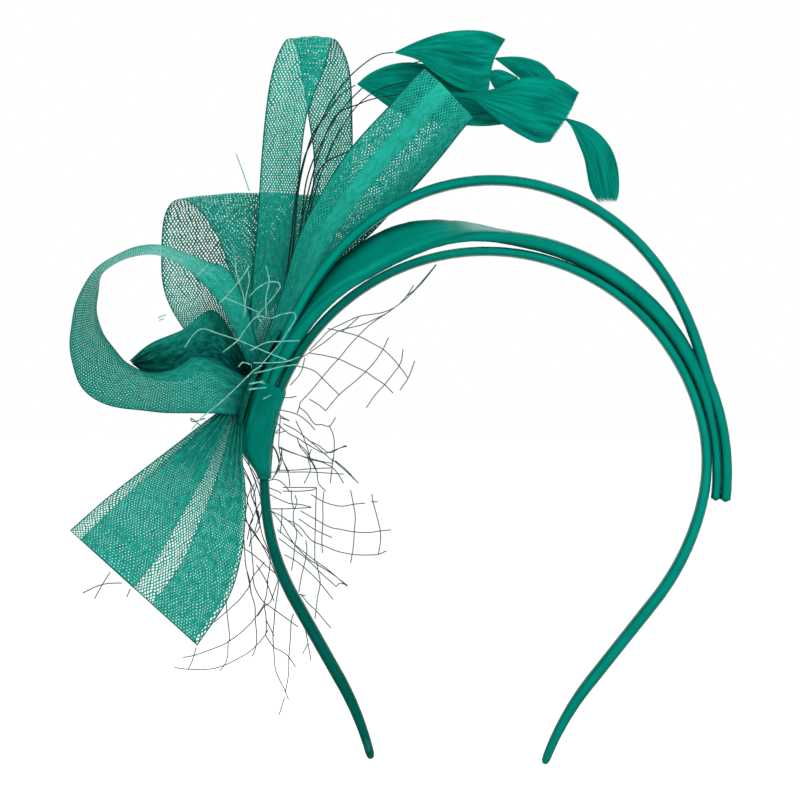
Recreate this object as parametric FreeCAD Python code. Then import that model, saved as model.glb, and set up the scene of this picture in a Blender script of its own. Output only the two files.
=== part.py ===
import FreeCAD, Part
import math
import os
from FreeCAD import Vector

# A fascinator headpiece: three satin bands, looped crin ribbon, cut feathers and veil net.
# Millimetres. X goes to the wearer's left as drawn, Y goes back, Z goes up.
# The origin is the centre of the headband's round inner face.

# The headband, a satin-covered strip that goes over the head
CROWN_R_IN = 65.3
HEADBAND_W = 9.0
HEADBAND_T = 2.5
LEG_T = 3.4
TIP_T = 2.3
TIP_W = 6.0
TIP_ROUND = 1.2
LEFT_CROWN_TURN = 88.5
LEFT_BENDS = [(10.5, 91.0), (20.5, 69.0)]
LEFT_STRAIGHT = 27.0
LEFT_FLARE = (15.0, 95.5)
RIGHT_CROWN_TURN = 77.5
RIGHT_BENDS = [(26.0, 52.5), (25.0, 75.5)]
RIGHT_STRAIGHT = 31.0
RIGHT_FLARE = (18.0, 86.0)

# The two bands that arch over it, stacked on its outer face at both ends
STACK_GAP = 0.3
MIDDLE_W = 12.0
MIDDLE_END_W = 9.0
MIDDLE_WIDE_FROM = 40.0
MIDDLE_WIDE_TO = 158.0
MIDDLE_T = 2.4
MIDDLE_RISE = 0.8
MIDDLE_RISE_FROM = 60.0
MIDDLE_RISE_TO = 125.0
MIDDLE_TWIST = 56.0
MIDDLE_TWIST_FROM = 80.0
MIDDLE_TWIST_TO = 148.0
UPPER_W = 9.0
UPPER_T = 2.9
UPPER_RISE = 15.7
UPPER_RISE_FROM = 22.0
UPPER_RISE_TO = 150.0
UPPER_RISE_POWER = 1.4
STACK_RIGHT_END = -7.0
STACK_LEFT_END = 171.0
STATION_STEP = 5.0

# Each band is a plastic strip inside a glued satin cover
SATIN_T = 0.4
CORE_CLEARANCE = 0.05
FACE_CROWN = 0.2
EDGE_BULGE = 0.6
GLUE_W = 5.0
GLUE_CLEARANCE = 0.07
RIGHT_GLUE_FROM = -5.0
RIGHT_GLUE_TO = 14.0
LEFT_GLUE_FROM = 153.0
LEFT_GLUE_TO = 169.0

# The satin sleeve that closes the left ends of the bands round the headband
SLEEVE_CLEARANCE = 0.35
SLEEVE_FROM = 158.0
SLEEVE_FULL_TO = 173.0
SLEEVE_TO = 181.5
SLEEVE_STEPS = 6
SLEEVE_OVERRUN = 1.0

# The round felt pad that carries the trimmings, bent round the sleeve
PAD_ANGLE = 158.0
PAD_D = 34.0
PAD_T = 1.5
PAD_CLEARANCE = 0.1
PAD_Y = 1.0
ROOT_GAP = 0.3
STITCH_D = 0.5
STITCH_LENGTH = 3.0
STITCH_INSET = 2.0
STITCH_GAP = 0.05
STITCH_ANGLES = [20.0, 160.0, 200.0, 245.0, 295.0, 340.0]

# Crin ribbon, feathers and veil thread
CRIN_T = 0.5
CRIN_BOW = 0.6
SHEET_STEPS = 3
VANE_T = 0.4
VANE_BOW = 0.5
QUILL_D = 0.8
QUILL_ROOT_ANGLE = 150.3
QUILL_ROOT_Y = 8.8
QUILL_ROOT_PITCH = 1.0
THREAD_T = 0.6
VEIL_GAP = 0.4

# Points of the trimmings, measured from the middle of the pad's outer face: x, y, z of one
# edge and then x, y, z of the other edge, in the order in which the ribbon runs. Each
# ribbon also starts and ends on the pad, at an angle along the band and a place across it.
TALL_LOOP_START = ((157.0, 9.2), (152.5, 9.8))
TALL_LOOP_END = ((157.5, 11.6), (152.5, 12.6))
RIGHT_LOOP_START = ((150.8, 4.0), (149.4, 5.8))
RIGHT_LOOP_END = ((150.8, 8.0), (149.4, 6.4))
BACK_LOOP_START = ((162.0, 8.0), (158.8, 12.5))
BACK_LOOP_END = ((165.0, 11.5), (161.5, 15.5))
RING_START = ((152.0, -6.0), (155.5, -11.0))
RING_END = ((163.0, -8.0), (158.5, -12.5))
RUFFLE_END = ((156.5, -6.0), (160.5, -5.5))
TAIL_START = ((165.5, -7.5), (165.0, -2.5))
TALL_LOOP = [
    (0.0, 17.0, 23.5, 11.0, 17.0, 24.0),
    (1.5, 17.5, 44.5, 13.5, 17.5, 43.5),
    (3.0, 17.5, 64.0, 15.0, 17.5, 64.0),
    (4.0, 17.5, 78.0, 17.0, 17.5, 79.5),
    (6.0, 17.5, 90.5, 21.0, 17.5, 90.5),
    (8.5, 18.0, 99.0, 23.5, 18.0, 98.5),
    (11.5, 21.0, 102.5, 25.0, 21.0, 102.5),
    (14.0, 25.0, 99.0, 28.0, 25.0, 99.0),
    (15.0, 26.5, 91.0, 30.0, 26.5, 91.5),
    (17.5, 26.5, 78.0, 30.5, 26.5, 79.5),
    (19.0, 25.5, 64.0, 30.0, 25.5, 64.0),
    (16.5, 23.5, 44.5, 26.5, 23.5, 45.5),
    (10.0, 20.5, 24.0, 17.5, 20.5, 25.5),
]
RIGHT_LOOP = [
    (10.0, 7.0, 26.5, 18.5, 7.0, 27.0),
    (14.0, 7.0, 41.5, 28.5, 7.0, 36.0),
    (20.5, 7.0, 54.5, 37.0, 7.0, 43.5),
    (30.0, 7.0, 69.0, 48.0, 7.0, 55.5),
    (41.5, 7.0, 81.5, 57.0, 7.0, 66.0),
    (48.0, 7.0, 89.5, 64.0, 7.0, 74.5),
    (52.0, 8.5, 93.0, 67.0, 8.5, 78.0),
    (48.0, 10.5, 89.5, 64.0, 10.5, 74.5),
    (41.5, 10.5, 81.5, 57.0, 10.5, 66.0),
    (30.0, 10.5, 69.0, 48.0, 10.5, 55.5),
    (20.5, 10.5, 54.5, 36.0, 10.5, 44.5),
    (14.0, 10.0, 41.5, 27.0, 10.0, 37.5),
    (10.0, 10.0, 26.5, 16.5, 10.0, 27.5),
]
BACK_LOOP = [
    (-3.0, 14.0, 18.0, 0.5, 20.0, 21.0),
    (-6.5, 17.0, 33.0, 15.0, 25.0, 32.5),
    (-11.0, 20.0, 44.0, 20.5, 26.5, 43.5),
    (-17.0, 23.0, 52.0, 21.0, 27.5, 51.0),
    (-22.5, 27.0, 54.0, 21.5, 30.0, 55.0),
    (-26.0, 31.0, 49.5, 21.5, 33.0, 51.0),
    (-27.5, 32.5, 40.0, 21.5, 34.0, 43.0),
    (-26.5, 30.0, 26.5, 16.5, 32.0, 30.0),
    (-20.0, 24.0, 13.5, 2.5, 27.0, 16.5),
]
RING = [
    (-5.5, -3.0, 31.0, -8.5, -13.0, 21.0),
    (-13.5, 0.0, 35.0, -15.5, -15.0, 29.5),
    (-21.5, 2.0, 38.0, -21.5, -15.0, 34.5),
    (-30.0, 3.0, 40.0, -30.0, -15.0, 37.0),
    (-38.5, 3.0, 38.0, -39.0, -15.0, 34.5),
    (-45.5, 2.0, 33.0, -44.0, -16.0, 31.0),
    (-50.5, 0.0, 26.5, -45.5, -16.0, 25.5),
    (-53.5, -2.0, 17.5, -45.5, -17.0, 19.0),
    (-54.0, -4.0, 8.5, -43.5, -18.0, 13.0),
    (-51.0, -7.0, -1.5, -39.5, -20.0, 7.5),
    (-44.0, -10.0, -7.5, -35.0, -22.0, 3.5),
    (-32.0, -12.0, -10.0, -28.5, -23.0, 1.5),
    (-22.5, -13.0, -10.5, -21.0, -22.0, 3.0),
    (-13.0, -13.0, -10.5, -14.0, -20.0, 6.0),
]
RUFFLE = [
    (-35.0, -16.0, 5.0, -34.0, -15.5, 3.0),
    (-29.0, -13.0, 10.5, -30.0, -12.0, -2.0),
    (-19.5, -10.0, 14.0, -21.0, -10.0, -3.0),
    (-12.5, -8.5, 17.0, -12.0, -8.5, -0.5),
]
TAIL = [
    (-14.5, -11.0, -14.0, -2.0, -8.5, -21.5),
    (-24.0, -12.0, -21.5, -1.5, -8.5, -33.0),
    (-33.0, -12.0, -28.5, -1.5, -9.0, -42.5),
    (-41.5, -12.0, -35.0, -2.5, -10.0, -53.5),
    (-48.0, -12.0, -40.5, -6.5, -10.0, -66.0),
    (-54.0, -12.0, -45.5, -15.5, -10.0, -80.0),
]

# Where the front layer of the tail lies on the back one, as shares of the ribbon's width
TAIL_PLEATS = [(0.08, 0.5), (0.64, 0.97)]
TAIL_PLEAT_GAP = 0.8

# Feather vanes, one edge and the other, from the quill to the cut end
TOP_VANE = [
    (43.5, 13.0, 98.0, 43.5, 13.0, 97.5),
    (49.5, 13.0, 101.0, 50.5, 13.0, 95.5),
    (57.0, 13.0, 103.5, 56.5, 13.0, 91.0),
    (64.5, 13.0, 105.0, 62.5, 13.0, 87.5),
    (71.5, 13.0, 104.0, 68.5, 13.0, 85.5),
    (77.0, 13.5, 102.0, 72.0, 13.0, 86.5),
]
LEFT_VANE = [
    (32.0, 15.5, 88.5, 32.0, 15.5, 88.0),
    (36.0, 15.5, 92.0, 37.0, 15.5, 85.0),
    (42.5, 15.5, 94.5, 42.0, 15.5, 81.0),
    (49.5, 15.5, 95.0, 48.0, 15.5, 78.0),
    (57.0, 15.5, 93.0, 54.5, 15.5, 76.0),
    (64.5, 15.5, 87.5, 63.0, 15.5, 78.5),
]
BACK_VANE = [
    (74.5, 17.5, 96.5, 74.5, 17.5, 96.0),
    (78.5, 17.5, 97.0, 77.5, 17.5, 93.0),
    (83.0, 17.5, 96.5, 81.0, 17.5, 90.0),
    (88.0, 17.5, 94.5, 85.0, 17.5, 88.0),
    (92.0, 17.5, 90.0, 89.5, 17.5, 87.0),
]
SMALL_VANE = [
    (71.5, 14.5, 91.5, 71.5, 14.5, 91.0),
    (72.5, 14.5, 92.5, 73.5, 14.5, 87.0),
    (76.0, 14.5, 92.5, 77.5, 14.5, 88.0),
    (80.5, 14.5, 90.5, 81.0, 14.5, 89.5),
]
CENTRE_VANE = [
    (57.0, 12.0, 86.0, 57.0, 12.0, 85.5),
    (63.0, 12.0, 86.5, 62.5, 12.0, 79.5),
    (69.0, 12.0, 86.5, 68.5, 12.0, 77.0),
    (75.0, 12.0, 87.5, 75.0, 12.0, 76.0),
    (82.0, 12.0, 90.0, 81.5, 12.0, 73.0),
    (90.0, 12.0, 90.0, 87.0, 12.0, 71.0),
    (96.0, 12.0, 88.0, 90.0, 12.0, 71.0),
    (99.0, 12.0, 85.5, 92.0, 12.0, 71.5),
]
DROOPING_VANE = [
    (94.5, 14.0, 78.5, 94.5, 14.0, 78.0),
    (97.0, 14.0, 77.5, 96.5, 14.0, 75.5),
    (101.5, 14.0, 76.0, 98.5, 14.0, 70.5),
    (105.5, 14.0, 73.0, 100.5, 14.0, 66.0),
    (109.0, 14.0, 68.5, 101.5, 14.0, 61.5),
    (110.5, 14.0, 63.0, 102.0, 14.0, 57.5),
    (110.5, 14.0, 56.5, 104.0, 14.0, 53.5),
    (110.0, 14.0, 52.5, 107.0, 14.0, 51.0),
]

# Quills from the pad to the vane
TOP_QUILL = [
    (10.0, 13.0, 18.0),
    (12.0, 13.0, 35.5),
    (14.5, 13.0, 56.5),
    (17.5, 13.0, 70.5),
    (21.0, 13.0, 77.0),
    (25.0, 13.0, 84.0),
    (29.5, 13.0, 90.5),
    (34.5, 13.0, 95.0),
    (39.0, 13.0, 97.5),
    (43.0, 13.0, 98.0),
]
LEFT_QUILL = [
    (9.0, 14.5, 18.5),
    (11.5, 14.5, 34.5),
    (13.5, 14.5, 53.5),
    (16.0, 14.5, 65.5),
    (18.0, 14.5, 70.5),
    (20.5, 14.5, 76.0),
    (24.0, 15.0, 81.0),
    (27.0, 15.0, 85.5),
    (31.5, 15.5, 88.5),
]
BACK_QUILL = [
    (10.5, 15.5, 19.0),
    (14.5, 15.5, 41.5),
    (16.5, 15.5, 59.5),
    (21.5, 16.0, 71.5),
    (28.5, 16.5, 82.0),
    (39.0, 17.0, 91.0),
    (54.0, 17.5, 96.0),
    (74.0, 17.5, 96.0),
]
SMALL_QUILL = [
    (11.0, 12.0, 19.5),
    (16.5, 12.0, 43.5),
    (21.0, 12.0, 61.5),
    (28.0, 12.5, 76.0),
    (36.5, 14.0, 85.5),
    (51.0, 14.5, 90.0),
    (70.5, 14.5, 91.0),
]
CENTRE_QUILL = [
    (10.0, 11.0, 19.5),
    (15.0, 11.0, 45.0),
    (19.5, 11.0, 64.0),
    (25.0, 11.0, 78.0),
    (32.5, 11.0, 82.5),
    (38.0, 11.5, 84.0),
    (46.5, 11.5, 85.5),
    (56.5, 12.0, 85.5),
]
DROOPING_QUILL = [
    (11.5, 13.5, 21.0),
    (16.0, 13.5, 45.5),
    (20.5, 13.5, 62.5),
    (29.5, 13.5, 68.5),
    (43.5, 13.5, 75.0),
    (60.0, 13.5, 78.5),
    (78.0, 14.0, 80.0),
    (94.0, 14.0, 78.0),
]

# Veil net: the middle of the fan from the pad's middle, first and last spoke, number of
# spokes, first and last ring, number of rings, and the slope of its plane along X and Z
UPPER_VEIL = ((4.5, 1.5), -40.0, 34.0, 8, -2.5, 43.0, 8, 0.0, 0.0)
LOWER_RIGHT_VEIL = ((3.5, -23.0), -62.0, 14.0, 8, -2.0, 38.0, 8, 0.0, 0.0)
LOWER_LEFT_VEIL = ((3.5, -24.0), -128.0, -62.0, 8, -2.5, 72.0, 12, 0.0, 0.0)
FRONT_VEIL = ((12.0, 9.0), 118.0, 196.0, 6, -4.0, 31.0, 6, 0.85, 0.15)


def bump(angle, start, end, power):
    """A smooth hill from 0 at start to 1 halfway and back to 0 at end."""
    share = (angle - start) / (end - start)
    if share <= 0.0 or share >= 1.0:
        return 0.0
    return math.sin(math.pi * share) ** power


def polar(radius, angle, y=0.0):
    """A point at a radius and an angle from the X axis, in the plane of the headband."""
    turn = math.radians(angle)
    return Vector(radius * math.cos(turn), y, radius * math.sin(turn))


def strip_section(centre, normal, twist, width, thick):
    """The outline across a strip: two crowned faces and two rounded edges.

    The normal points away from the head. A twist turns the back edge outwards.
    """
    turn = math.radians(twist)
    back = Vector(0, 1, 0)
    across = back * math.cos(turn) + normal * math.sin(turn)
    up = normal * math.cos(turn) - back * math.sin(turn)
    edge = across * (width / 2)
    corner = across * (width / 2 - EDGE_BULGE)
    face = up * (thick / 2)
    shoulder = up * (thick / 2 - FACE_CROWN)
    points = [
        centre - corner + shoulder,
        centre + face,
        centre + corner + shoulder,
        centre + edge,
        centre + corner - shoulder,
        centre - face,
        centre - corner - shoulder,
        centre - edge,
    ]
    arcs = []
    for k in range(0, len(points), 2):
        end = points[(k + 2) % len(points)]
        arcs.append(Part.Arc(points[k], points[k + 1], end).toShape())
    return Part.Wire(arcs)


def strip(stations, inset):
    """A solid strip through stations of centre, normal, twist, width and thickness.

    An inset makes the strip smaller all round and shorter at both ends.
    """
    wires = []
    last = len(stations) - 1
    for k, (centre, normal, twist, width, thick) in enumerate(stations):
        if k == 0:
            centre = centre + (stations[1][0] - centre).normalize() * inset
        if k == last:
            centre = centre + (stations[last - 1][0] - centre).normalize() * inset
        wires.append(strip_section(centre, normal, twist, width - 2 * inset, thick - 2 * inset))
    return Part.makeLoft(wires, True, False)


def cover_and_core(stations):
    """The satin cover, closed over both ends, and the plastic strip inside it."""
    cover = strip(stations, 0.0).cut(strip(stations, SATIN_T))
    core = strip(stations, SATIN_T + CORE_CLEARANCE)
    return cover, core


def half_path(side, crown_turn, bends, straight, flare):
    """Centres, normals, widths and thicknesses of half the headband, from the top down.

    The half is tangent arcs round the head, a straight leg and an arc that flares out.
    """
    middle_r = CROWN_R_IN + HEADBAND_T / 2
    point = Vector(0, 0, middle_r)
    heading = 0.0
    stations = []
    pieces = [(crown_turn, middle_r, HEADBAND_T, HEADBAND_T)]
    pieces += [(turn, radius, None, None) for turn, radius in bends]
    thick = HEADBAND_T
    bend_total = sum(turn for turn, radius in bends)
    for turn, radius, start_t, end_t in pieces:
        steps = max(2, round(turn / STATION_STEP))
        inward = Vector(-side * math.sin(heading), 0, -math.cos(heading))
        hub = point + inward * radius
        for k in range(1, steps + 1):
            angle = heading + math.radians(turn) * k / steps
            outward = Vector(side * math.sin(angle), 0, math.cos(angle))
            if start_t is None:
                thick += (LEG_T - HEADBAND_T) * turn / bend_total / steps
            stations.append((hub + outward * radius, outward, HEADBAND_W, thick))
        heading += math.radians(turn)
        point = stations[-1][0]
    along = Vector(side * math.cos(heading), 0, -math.sin(heading))
    outward = Vector(side * math.sin(heading), 0, math.cos(heading))
    stations.append((point + along * (straight / 2), outward, HEADBAND_W, LEG_T))
    stations.append((point + along * straight, outward, HEADBAND_W, LEG_T))
    flare_turn, flare_r = flare
    hub = point + along * straight + outward * flare_r
    steps = max(2, round(flare_turn / STATION_STEP))
    for k in range(1, steps + 1):
        angle = heading - math.radians(flare_turn) * k / steps
        outward = Vector(side * math.sin(angle), 0, math.cos(angle))
        share = k / steps
        width = HEADBAND_W + (TIP_W - HEADBAND_W) * share
        stations.append((hub - outward * flare_r, outward, width, LEG_T + (TIP_T - LEG_T) * share))
    along = Vector(side * math.cos(angle), 0, -math.sin(angle))
    tip = stations[-1][0] + along * TIP_ROUND
    stations.append((tip, outward, TIP_W - TIP_ROUND, TIP_T - TIP_ROUND / 2))
    return stations


def headband_stations():
    """The headband from its left tip over the head to its right tip."""
    left = half_path(-1, LEFT_CROWN_TURN, LEFT_BENDS, LEFT_STRAIGHT, LEFT_FLARE)
    right = half_path(1, RIGHT_CROWN_TURN, RIGHT_BENDS, RIGHT_STRAIGHT, RIGHT_FLARE)
    top = (Vector(0, 0, CROWN_R_IN + HEADBAND_T / 2), Vector(0, 0, 1), HEADBAND_W, HEADBAND_T)
    whole = left[::-1] + [top] + right
    return [(centre, normal, 0.0, width, thick) for centre, normal, width, thick in whole]


def arch_stations(radius_at, twist_at, width_at, thick):
    """Stations along a band whose middle lies at a radius that depends on the angle."""
    stations = []
    steps = round((STACK_LEFT_END - STACK_RIGHT_END) / STATION_STEP)
    for k in range(steps + 1):
        angle = STACK_RIGHT_END + (STACK_LEFT_END - STACK_RIGHT_END) * k / steps
        ahead = polar(radius_at(angle + 0.5), angle + 0.5)
        behind = polar(radius_at(angle - 0.5), angle - 0.5)
        along = (ahead - behind).normalize()
        normal = Vector(along.z, 0, -along.x)
        stations.append((polar(radius_at(angle), angle), normal, twist_at(angle), width_at(angle), thick))
    return stations


def middle_twist(angle):
    return MIDDLE_TWIST * bump(angle, MIDDLE_TWIST_FROM, MIDDLE_TWIST_TO, 2)


def middle_width(angle):
    wide = bump(angle, MIDDLE_WIDE_FROM, MIDDLE_WIDE_TO, 1)
    return MIDDLE_END_W + (MIDDLE_W - MIDDLE_END_W) * wide


def middle_radius(angle):
    """The middle band rests on the headband, and lifts to leave room where it twists."""
    seat = CROWN_R_IN + HEADBAND_T + STACK_GAP
    turn = math.radians(middle_twist(angle))
    half_depth = (middle_width(angle) * math.sin(turn) + MIDDLE_T * math.cos(turn)) / 2
    rise = MIDDLE_RISE * bump(angle, MIDDLE_RISE_FROM, MIDDLE_RISE_TO, 2)
    return seat + half_depth + rise


def upper_radius(angle):
    """The upper band rests on the middle one at both ends and arches clear between them."""
    seat = CROWN_R_IN + HEADBAND_T + STACK_GAP + MIDDLE_T + STACK_GAP
    rise = UPPER_RISE * bump(angle, UPPER_RISE_FROM, UPPER_RISE_TO, UPPER_RISE_POWER)
    return seat + UPPER_T / 2 + rise


def stack_outer():
    """The radius of the upper band's outer face where the three bands are stacked."""
    return CROWN_R_IN + HEADBAND_T + MIDDLE_T + UPPER_T + 2 * STACK_GAP


def stack_width():
    return max(HEADBAND_W, MIDDLE_END_W, UPPER_W)


def sleeve_half_width():
    return stack_width() / 2 + SLEEVE_CLEARANCE + SATIN_T


def ring_sector(r_in, r_out, width, start, end):
    """A block bent round the crown's centre, between two radii and two angles."""
    corners = [
        polar(r_in, start, -width / 2),
        polar(r_out, start, -width / 2),
        polar(r_out, start, width / 2),
        polar(r_in, start, width / 2),
    ]
    face = Part.Face(Part.makePolygon(corners + corners[:1]))
    return face.revolve(Vector(0, 0, 0), Vector(0, -1, 0), end - start)


def glue_films(start, end):
    """The two films of glue between the three stacked bands."""
    first_in = CROWN_R_IN + HEADBAND_T
    second_in = first_in + STACK_GAP + MIDDLE_T
    films = []
    for radius in (first_in, second_in):
        inner = radius + GLUE_CLEARANCE
        outer = radius + STACK_GAP - GLUE_CLEARANCE
        films.append(ring_sector(inner, outer, GLUE_W, start, end))
    return Part.Compound(films)


def sleeve_section(angle, outset):
    """A rounded box across the stacked bands, narrowing to the headband alone."""
    taper = max(0.0, (angle - SLEEVE_FULL_TO) / (SLEEVE_TO - SLEEVE_FULL_TO))
    share = (1 + math.cos(math.pi * min(1.0, taper))) / 2
    r_in = CROWN_R_IN - outset
    headband_outer = CROWN_R_IN + HEADBAND_T
    r_out = headband_outer + (stack_outer() - headband_outer) * share + outset
    leg_half = HEADBAND_W / 2
    stack_half = stack_width() / 2
    half = leg_half + (stack_half - leg_half) * share + outset
    bulge = EDGE_BULGE / 2
    points = [
        polar(r_out - bulge, angle, -half + bulge),
        polar(r_out, angle, 0),
        polar(r_out - bulge, angle, half - bulge),
        polar((r_in + r_out) / 2, angle, half),
        polar(r_in + bulge, angle, half - bulge),
        polar(r_in, angle, 0),
        polar(r_in + bulge, angle, -half + bulge),
        polar((r_in + r_out) / 2, angle, -half),
    ]
    arcs = []
    for k in range(0, len(points), 2):
        end = points[(k + 2) % len(points)]
        arcs.append(Part.Arc(points[k], points[k + 1], end).toShape())
    return Part.Wire(arcs)


def sleeve_loft(outset, overrun):
    start = SLEEVE_FROM - overrun
    end = SLEEVE_TO + overrun
    angles = [start + (end - start) * k / SLEEVE_STEPS for k in range(SLEEVE_STEPS + 1)]
    return Part.makeLoft([sleeve_section(angle, outset) for angle in angles], True, False)


def join_sleeve():
    """The satin sleeve, open at both ends."""
    outside = sleeve_loft(SLEEVE_CLEARANCE + SATIN_T, 0.0)
    inside = sleeve_loft(SLEEVE_CLEARANCE, SLEEVE_OVERRUN)
    return outside.cut(inside)


def pad_inner():
    return stack_outer() + SLEEVE_CLEARANCE + SATIN_T + PAD_CLEARANCE


def pad_outer():
    return pad_inner() + PAD_T


def felt_pad():
    """A disc cut from a felt sheet that is bent round the crown's centre."""
    spread = math.degrees(PAD_D / 2 / pad_inner()) + STATION_STEP
    sheet = ring_sector(pad_inner(), pad_outer(), PAD_D, PAD_ANGLE - spread, PAD_ANGLE + spread)
    sheet.translate(Vector(0, PAD_Y, 0))
    out = polar(1, PAD_ANGLE)
    low = polar(pad_outer() - PAD_D / 2, PAD_ANGLE, PAD_Y)
    return sheet.common(Part.makeCylinder(PAD_D / 2 - PAD_T / 2, PAD_D, low, out))


def on_pad(angle, y, height=0.0):
    """A point on the pad's outer face, or at a height above it."""
    return polar(pad_outer() + ROOT_GAP + height, angle, y)


def pad_stitches():
    """Short thread bars that sew the pad down, laid along its rim."""
    bars = []
    for turn in STITCH_ANGLES:
        along = (PAD_D / 2 - STITCH_INSET) * math.cos(math.radians(turn))
        across = (PAD_D / 2 - STITCH_INSET) * math.sin(math.radians(turn))
        angle = PAD_ANGLE + math.degrees(along / pad_outer())
        radius = pad_outer() + STITCH_GAP + STITCH_D / 2
        start = polar(radius, angle, PAD_Y + across - STITCH_LENGTH / 2)
        bars.append(Part.makeCylinder(STITCH_D / 2, STITCH_LENGTH, start, Vector(0, 1, 0)))
    return Part.Compound(bars)


def gather_point():
    """The middle of the pad's outer face, from which the trimmings are measured."""
    return polar(pad_outer(), PAD_ANGLE)


def edge_pair(row):
    """The two edge points of one ribbon station, from its six numbers."""
    gather = gather_point()
    return gather + Vector(*row[:3]), gather + Vector(*row[3:])


def root_pair(root):
    (first_angle, first_y), (second_angle, second_y) = root
    return on_pad(first_angle, first_y), on_pad(second_angle, second_y)


def sheet_section(first, second, along, thick, bow):
    """A thin outline between two edge points, bowed out across the way that it runs."""
    across = second - first
    up = across.cross(along).normalize()
    middle = (first + second) / 2
    lift = up * min(bow, across.Length / 8)
    half = up * (thick / 2)
    front = Part.Arc(first + half, middle + lift + half, second + half)
    back = Part.Arc(second - half, middle + lift - half, first - half)
    edges = [
        front.toShape(),
        Part.makeLine(second + half, second - half),
        back.toShape(),
        Part.makeLine(first - half, first + half),
    ]
    return Part.Wire(edges)


def curve_point(p0, p1, p2, p3, t):
    """A point of the smooth curve through four points, a share of the way from p1 to p2."""
    steady = p1 * 2
    slope = (p2 - p0) * t
    bend = (p0 * 2 - p1 * 5 + p2 * 4 - p3) * (t * t)
    twist = (p1 * 3 - p0 - p2 * 3 + p3) * (t * t * t)
    return (steady + slope + bend + twist) / 2


def smooth_pairs(pairs):
    """More stations between the given ones, on the smooth curves through both edges."""
    last = len(pairs) - 1
    smooth = []
    for k in range(last):
        around = [pairs[min(last, max(0, k + step))] for step in (-1, 0, 1, 2)]
        for part in range(SHEET_STEPS):
            share = part / SHEET_STEPS
            first = curve_point(*[pair[0] for pair in around], share)
            second = curve_point(*[pair[1] for pair in around], share)
            smooth.append((first, second))
    return smooth + [pairs[last]]


def sheet(pairs, thick, bow):
    """A thin sheet lofted along the smooth curves through pairs of edge points."""
    pairs = smooth_pairs(pairs)
    wires = []
    last = len(pairs) - 1
    for k, (first, second) in enumerate(pairs):
        before = pairs[max(0, k - 1)]
        after = pairs[min(last, k + 1)]
        along = (after[0] + after[1] - before[0] - before[1]) / 2
        wires.append(sheet_section(first, second, along, thick, bow))
    solid = Part.makeLoft(wires, True, True)
    if solid.Volume < 0:
        solid.reverse()
    return solid


def ribbon(rows, start=None, end=None):
    """A crin ribbon from its root on the pad, through its stations, to its other root."""
    pairs = [edge_pair(row) for row in rows]
    if start is not None:
        pairs.insert(0, root_pair(start))
    if end is not None:
        pairs.append(root_pair(end))
    return sheet(pairs, CRIN_T, CRIN_BOW)


def tail_pleats():
    """The front layer of the tail: strips that follow the back layer's stations."""
    pairs = [root_pair(TAIL_START)] + [edge_pair(row) for row in TAIL]
    forward = Vector(0, -(CRIN_T + TAIL_PLEAT_GAP), 0)
    pleats = []
    for low, high in TAIL_PLEATS:
        narrowed = []
        for first, second in pairs[1:]:
            across = second - first
            narrowed.append((first + across * low + forward, first + across * high + forward))
        pleats.append(sheet(narrowed, CRIN_T, CRIN_BOW))
    return Part.Compound(pleats)


def quill(rows, slot):
    """A square quill from the pad through its points to the vane."""
    gather = gather_point()
    root = on_pad(QUILL_ROOT_ANGLE, QUILL_ROOT_Y + slot * QUILL_ROOT_PITCH, QUILL_D / 2)
    points = [root] + [gather + Vector(*row) for row in rows]
    wires = []
    last = len(points) - 1
    for k, point in enumerate(points):
        along = (points[min(last, k + 1)] - points[max(0, k - 1)]).normalize()
        side = along.cross(Vector(0, 1, 0)).normalize()
        rise = along.cross(side)
        corners = []
        for a, b in ((1, 1), (-1, 1), (-1, -1), (1, -1)):
            corners.append(point + side * (a * QUILL_D / 2) + rise * (b * QUILL_D / 2))
        wires.append(Part.makePolygon(corners + corners[:1]))
    return Part.makeLoft(wires, True, True)


def feather(vane_rows, quill_rows, slot):
    """A feather: its cut vane and the quill that carries it."""
    pairs = [edge_pair(row) for row in vane_rows]
    return Part.Compound([sheet(pairs, VANE_T, VANE_BOW), quill(quill_rows, slot)])


def offset_outline(points, distance):
    """A flat outline moved inwards, if it runs anticlockwise, by a distance."""
    moved = []
    count = len(points)
    for k, (x, z) in enumerate(points):
        before = points[k - 1]
        after = points[(k + 1) % count]
        normals = []
        for (ax, az), (bx, bz) in ((before, (x, z)), ((x, z), after)):
            length = math.hypot(bx - ax, bz - az)
            normals.append(((az - bz) / length, (bx - ax) / length))
        (mx, mz), (nx, nz) = normals
        share = distance / (1 + mx * nx + mz * nz)
        moved.append((x + (mx + nx) * share, z + (mz + nz) * share))
    return moved


def veil(spec, y):
    """A fan of diamond net in one plane: a face with a hole for each gap."""
    (cx, cz), first, last, spokes, r_start, r_end, rings, slope_x, slope_z = spec
    gather = gather_point()

    def knot(i, j):
        angle = math.radians(first + (last - first) * i / spokes)
        share = j / rings
        radius = r_start + (r_end - r_start) * share
        return radius * math.cos(angle), radius * math.sin(angle)

    def lifted(outline):
        points = []
        for x, z in outline:
            points.append(Vector(gather.x + cx + x, y + slope_x * x + slope_z * z, gather.z + cz + z))
        return Part.makePolygon(points + points[:1])

    low = [knot(spokes - 1, 1), knot(1, 1)]
    near = [knot(j % 2, j) for j in range(2, rings)]
    high = [knot(i, rings - i % 2) for i in range(2, spokes)]
    far = [knot(spokes - j % 2, j) for j in range(rings - 2, 1, -1)]
    border = low + near + high + far
    wires = [lifted(offset_outline(border, -THREAD_T / 2))]
    for i in range(1, spokes):
        for j in range(2, rings):
            if (i + j) % 2 == 1:
                gap = [knot(i, j - 1), knot(i - 1, j), knot(i, j + 1), knot(i + 1, j)]
                wires.append(lifted(offset_outline(gap, THREAD_T / 2)[::-1]))
    return Part.Face(wires).extrude(Vector(0, THREAD_T, 0))


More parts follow.
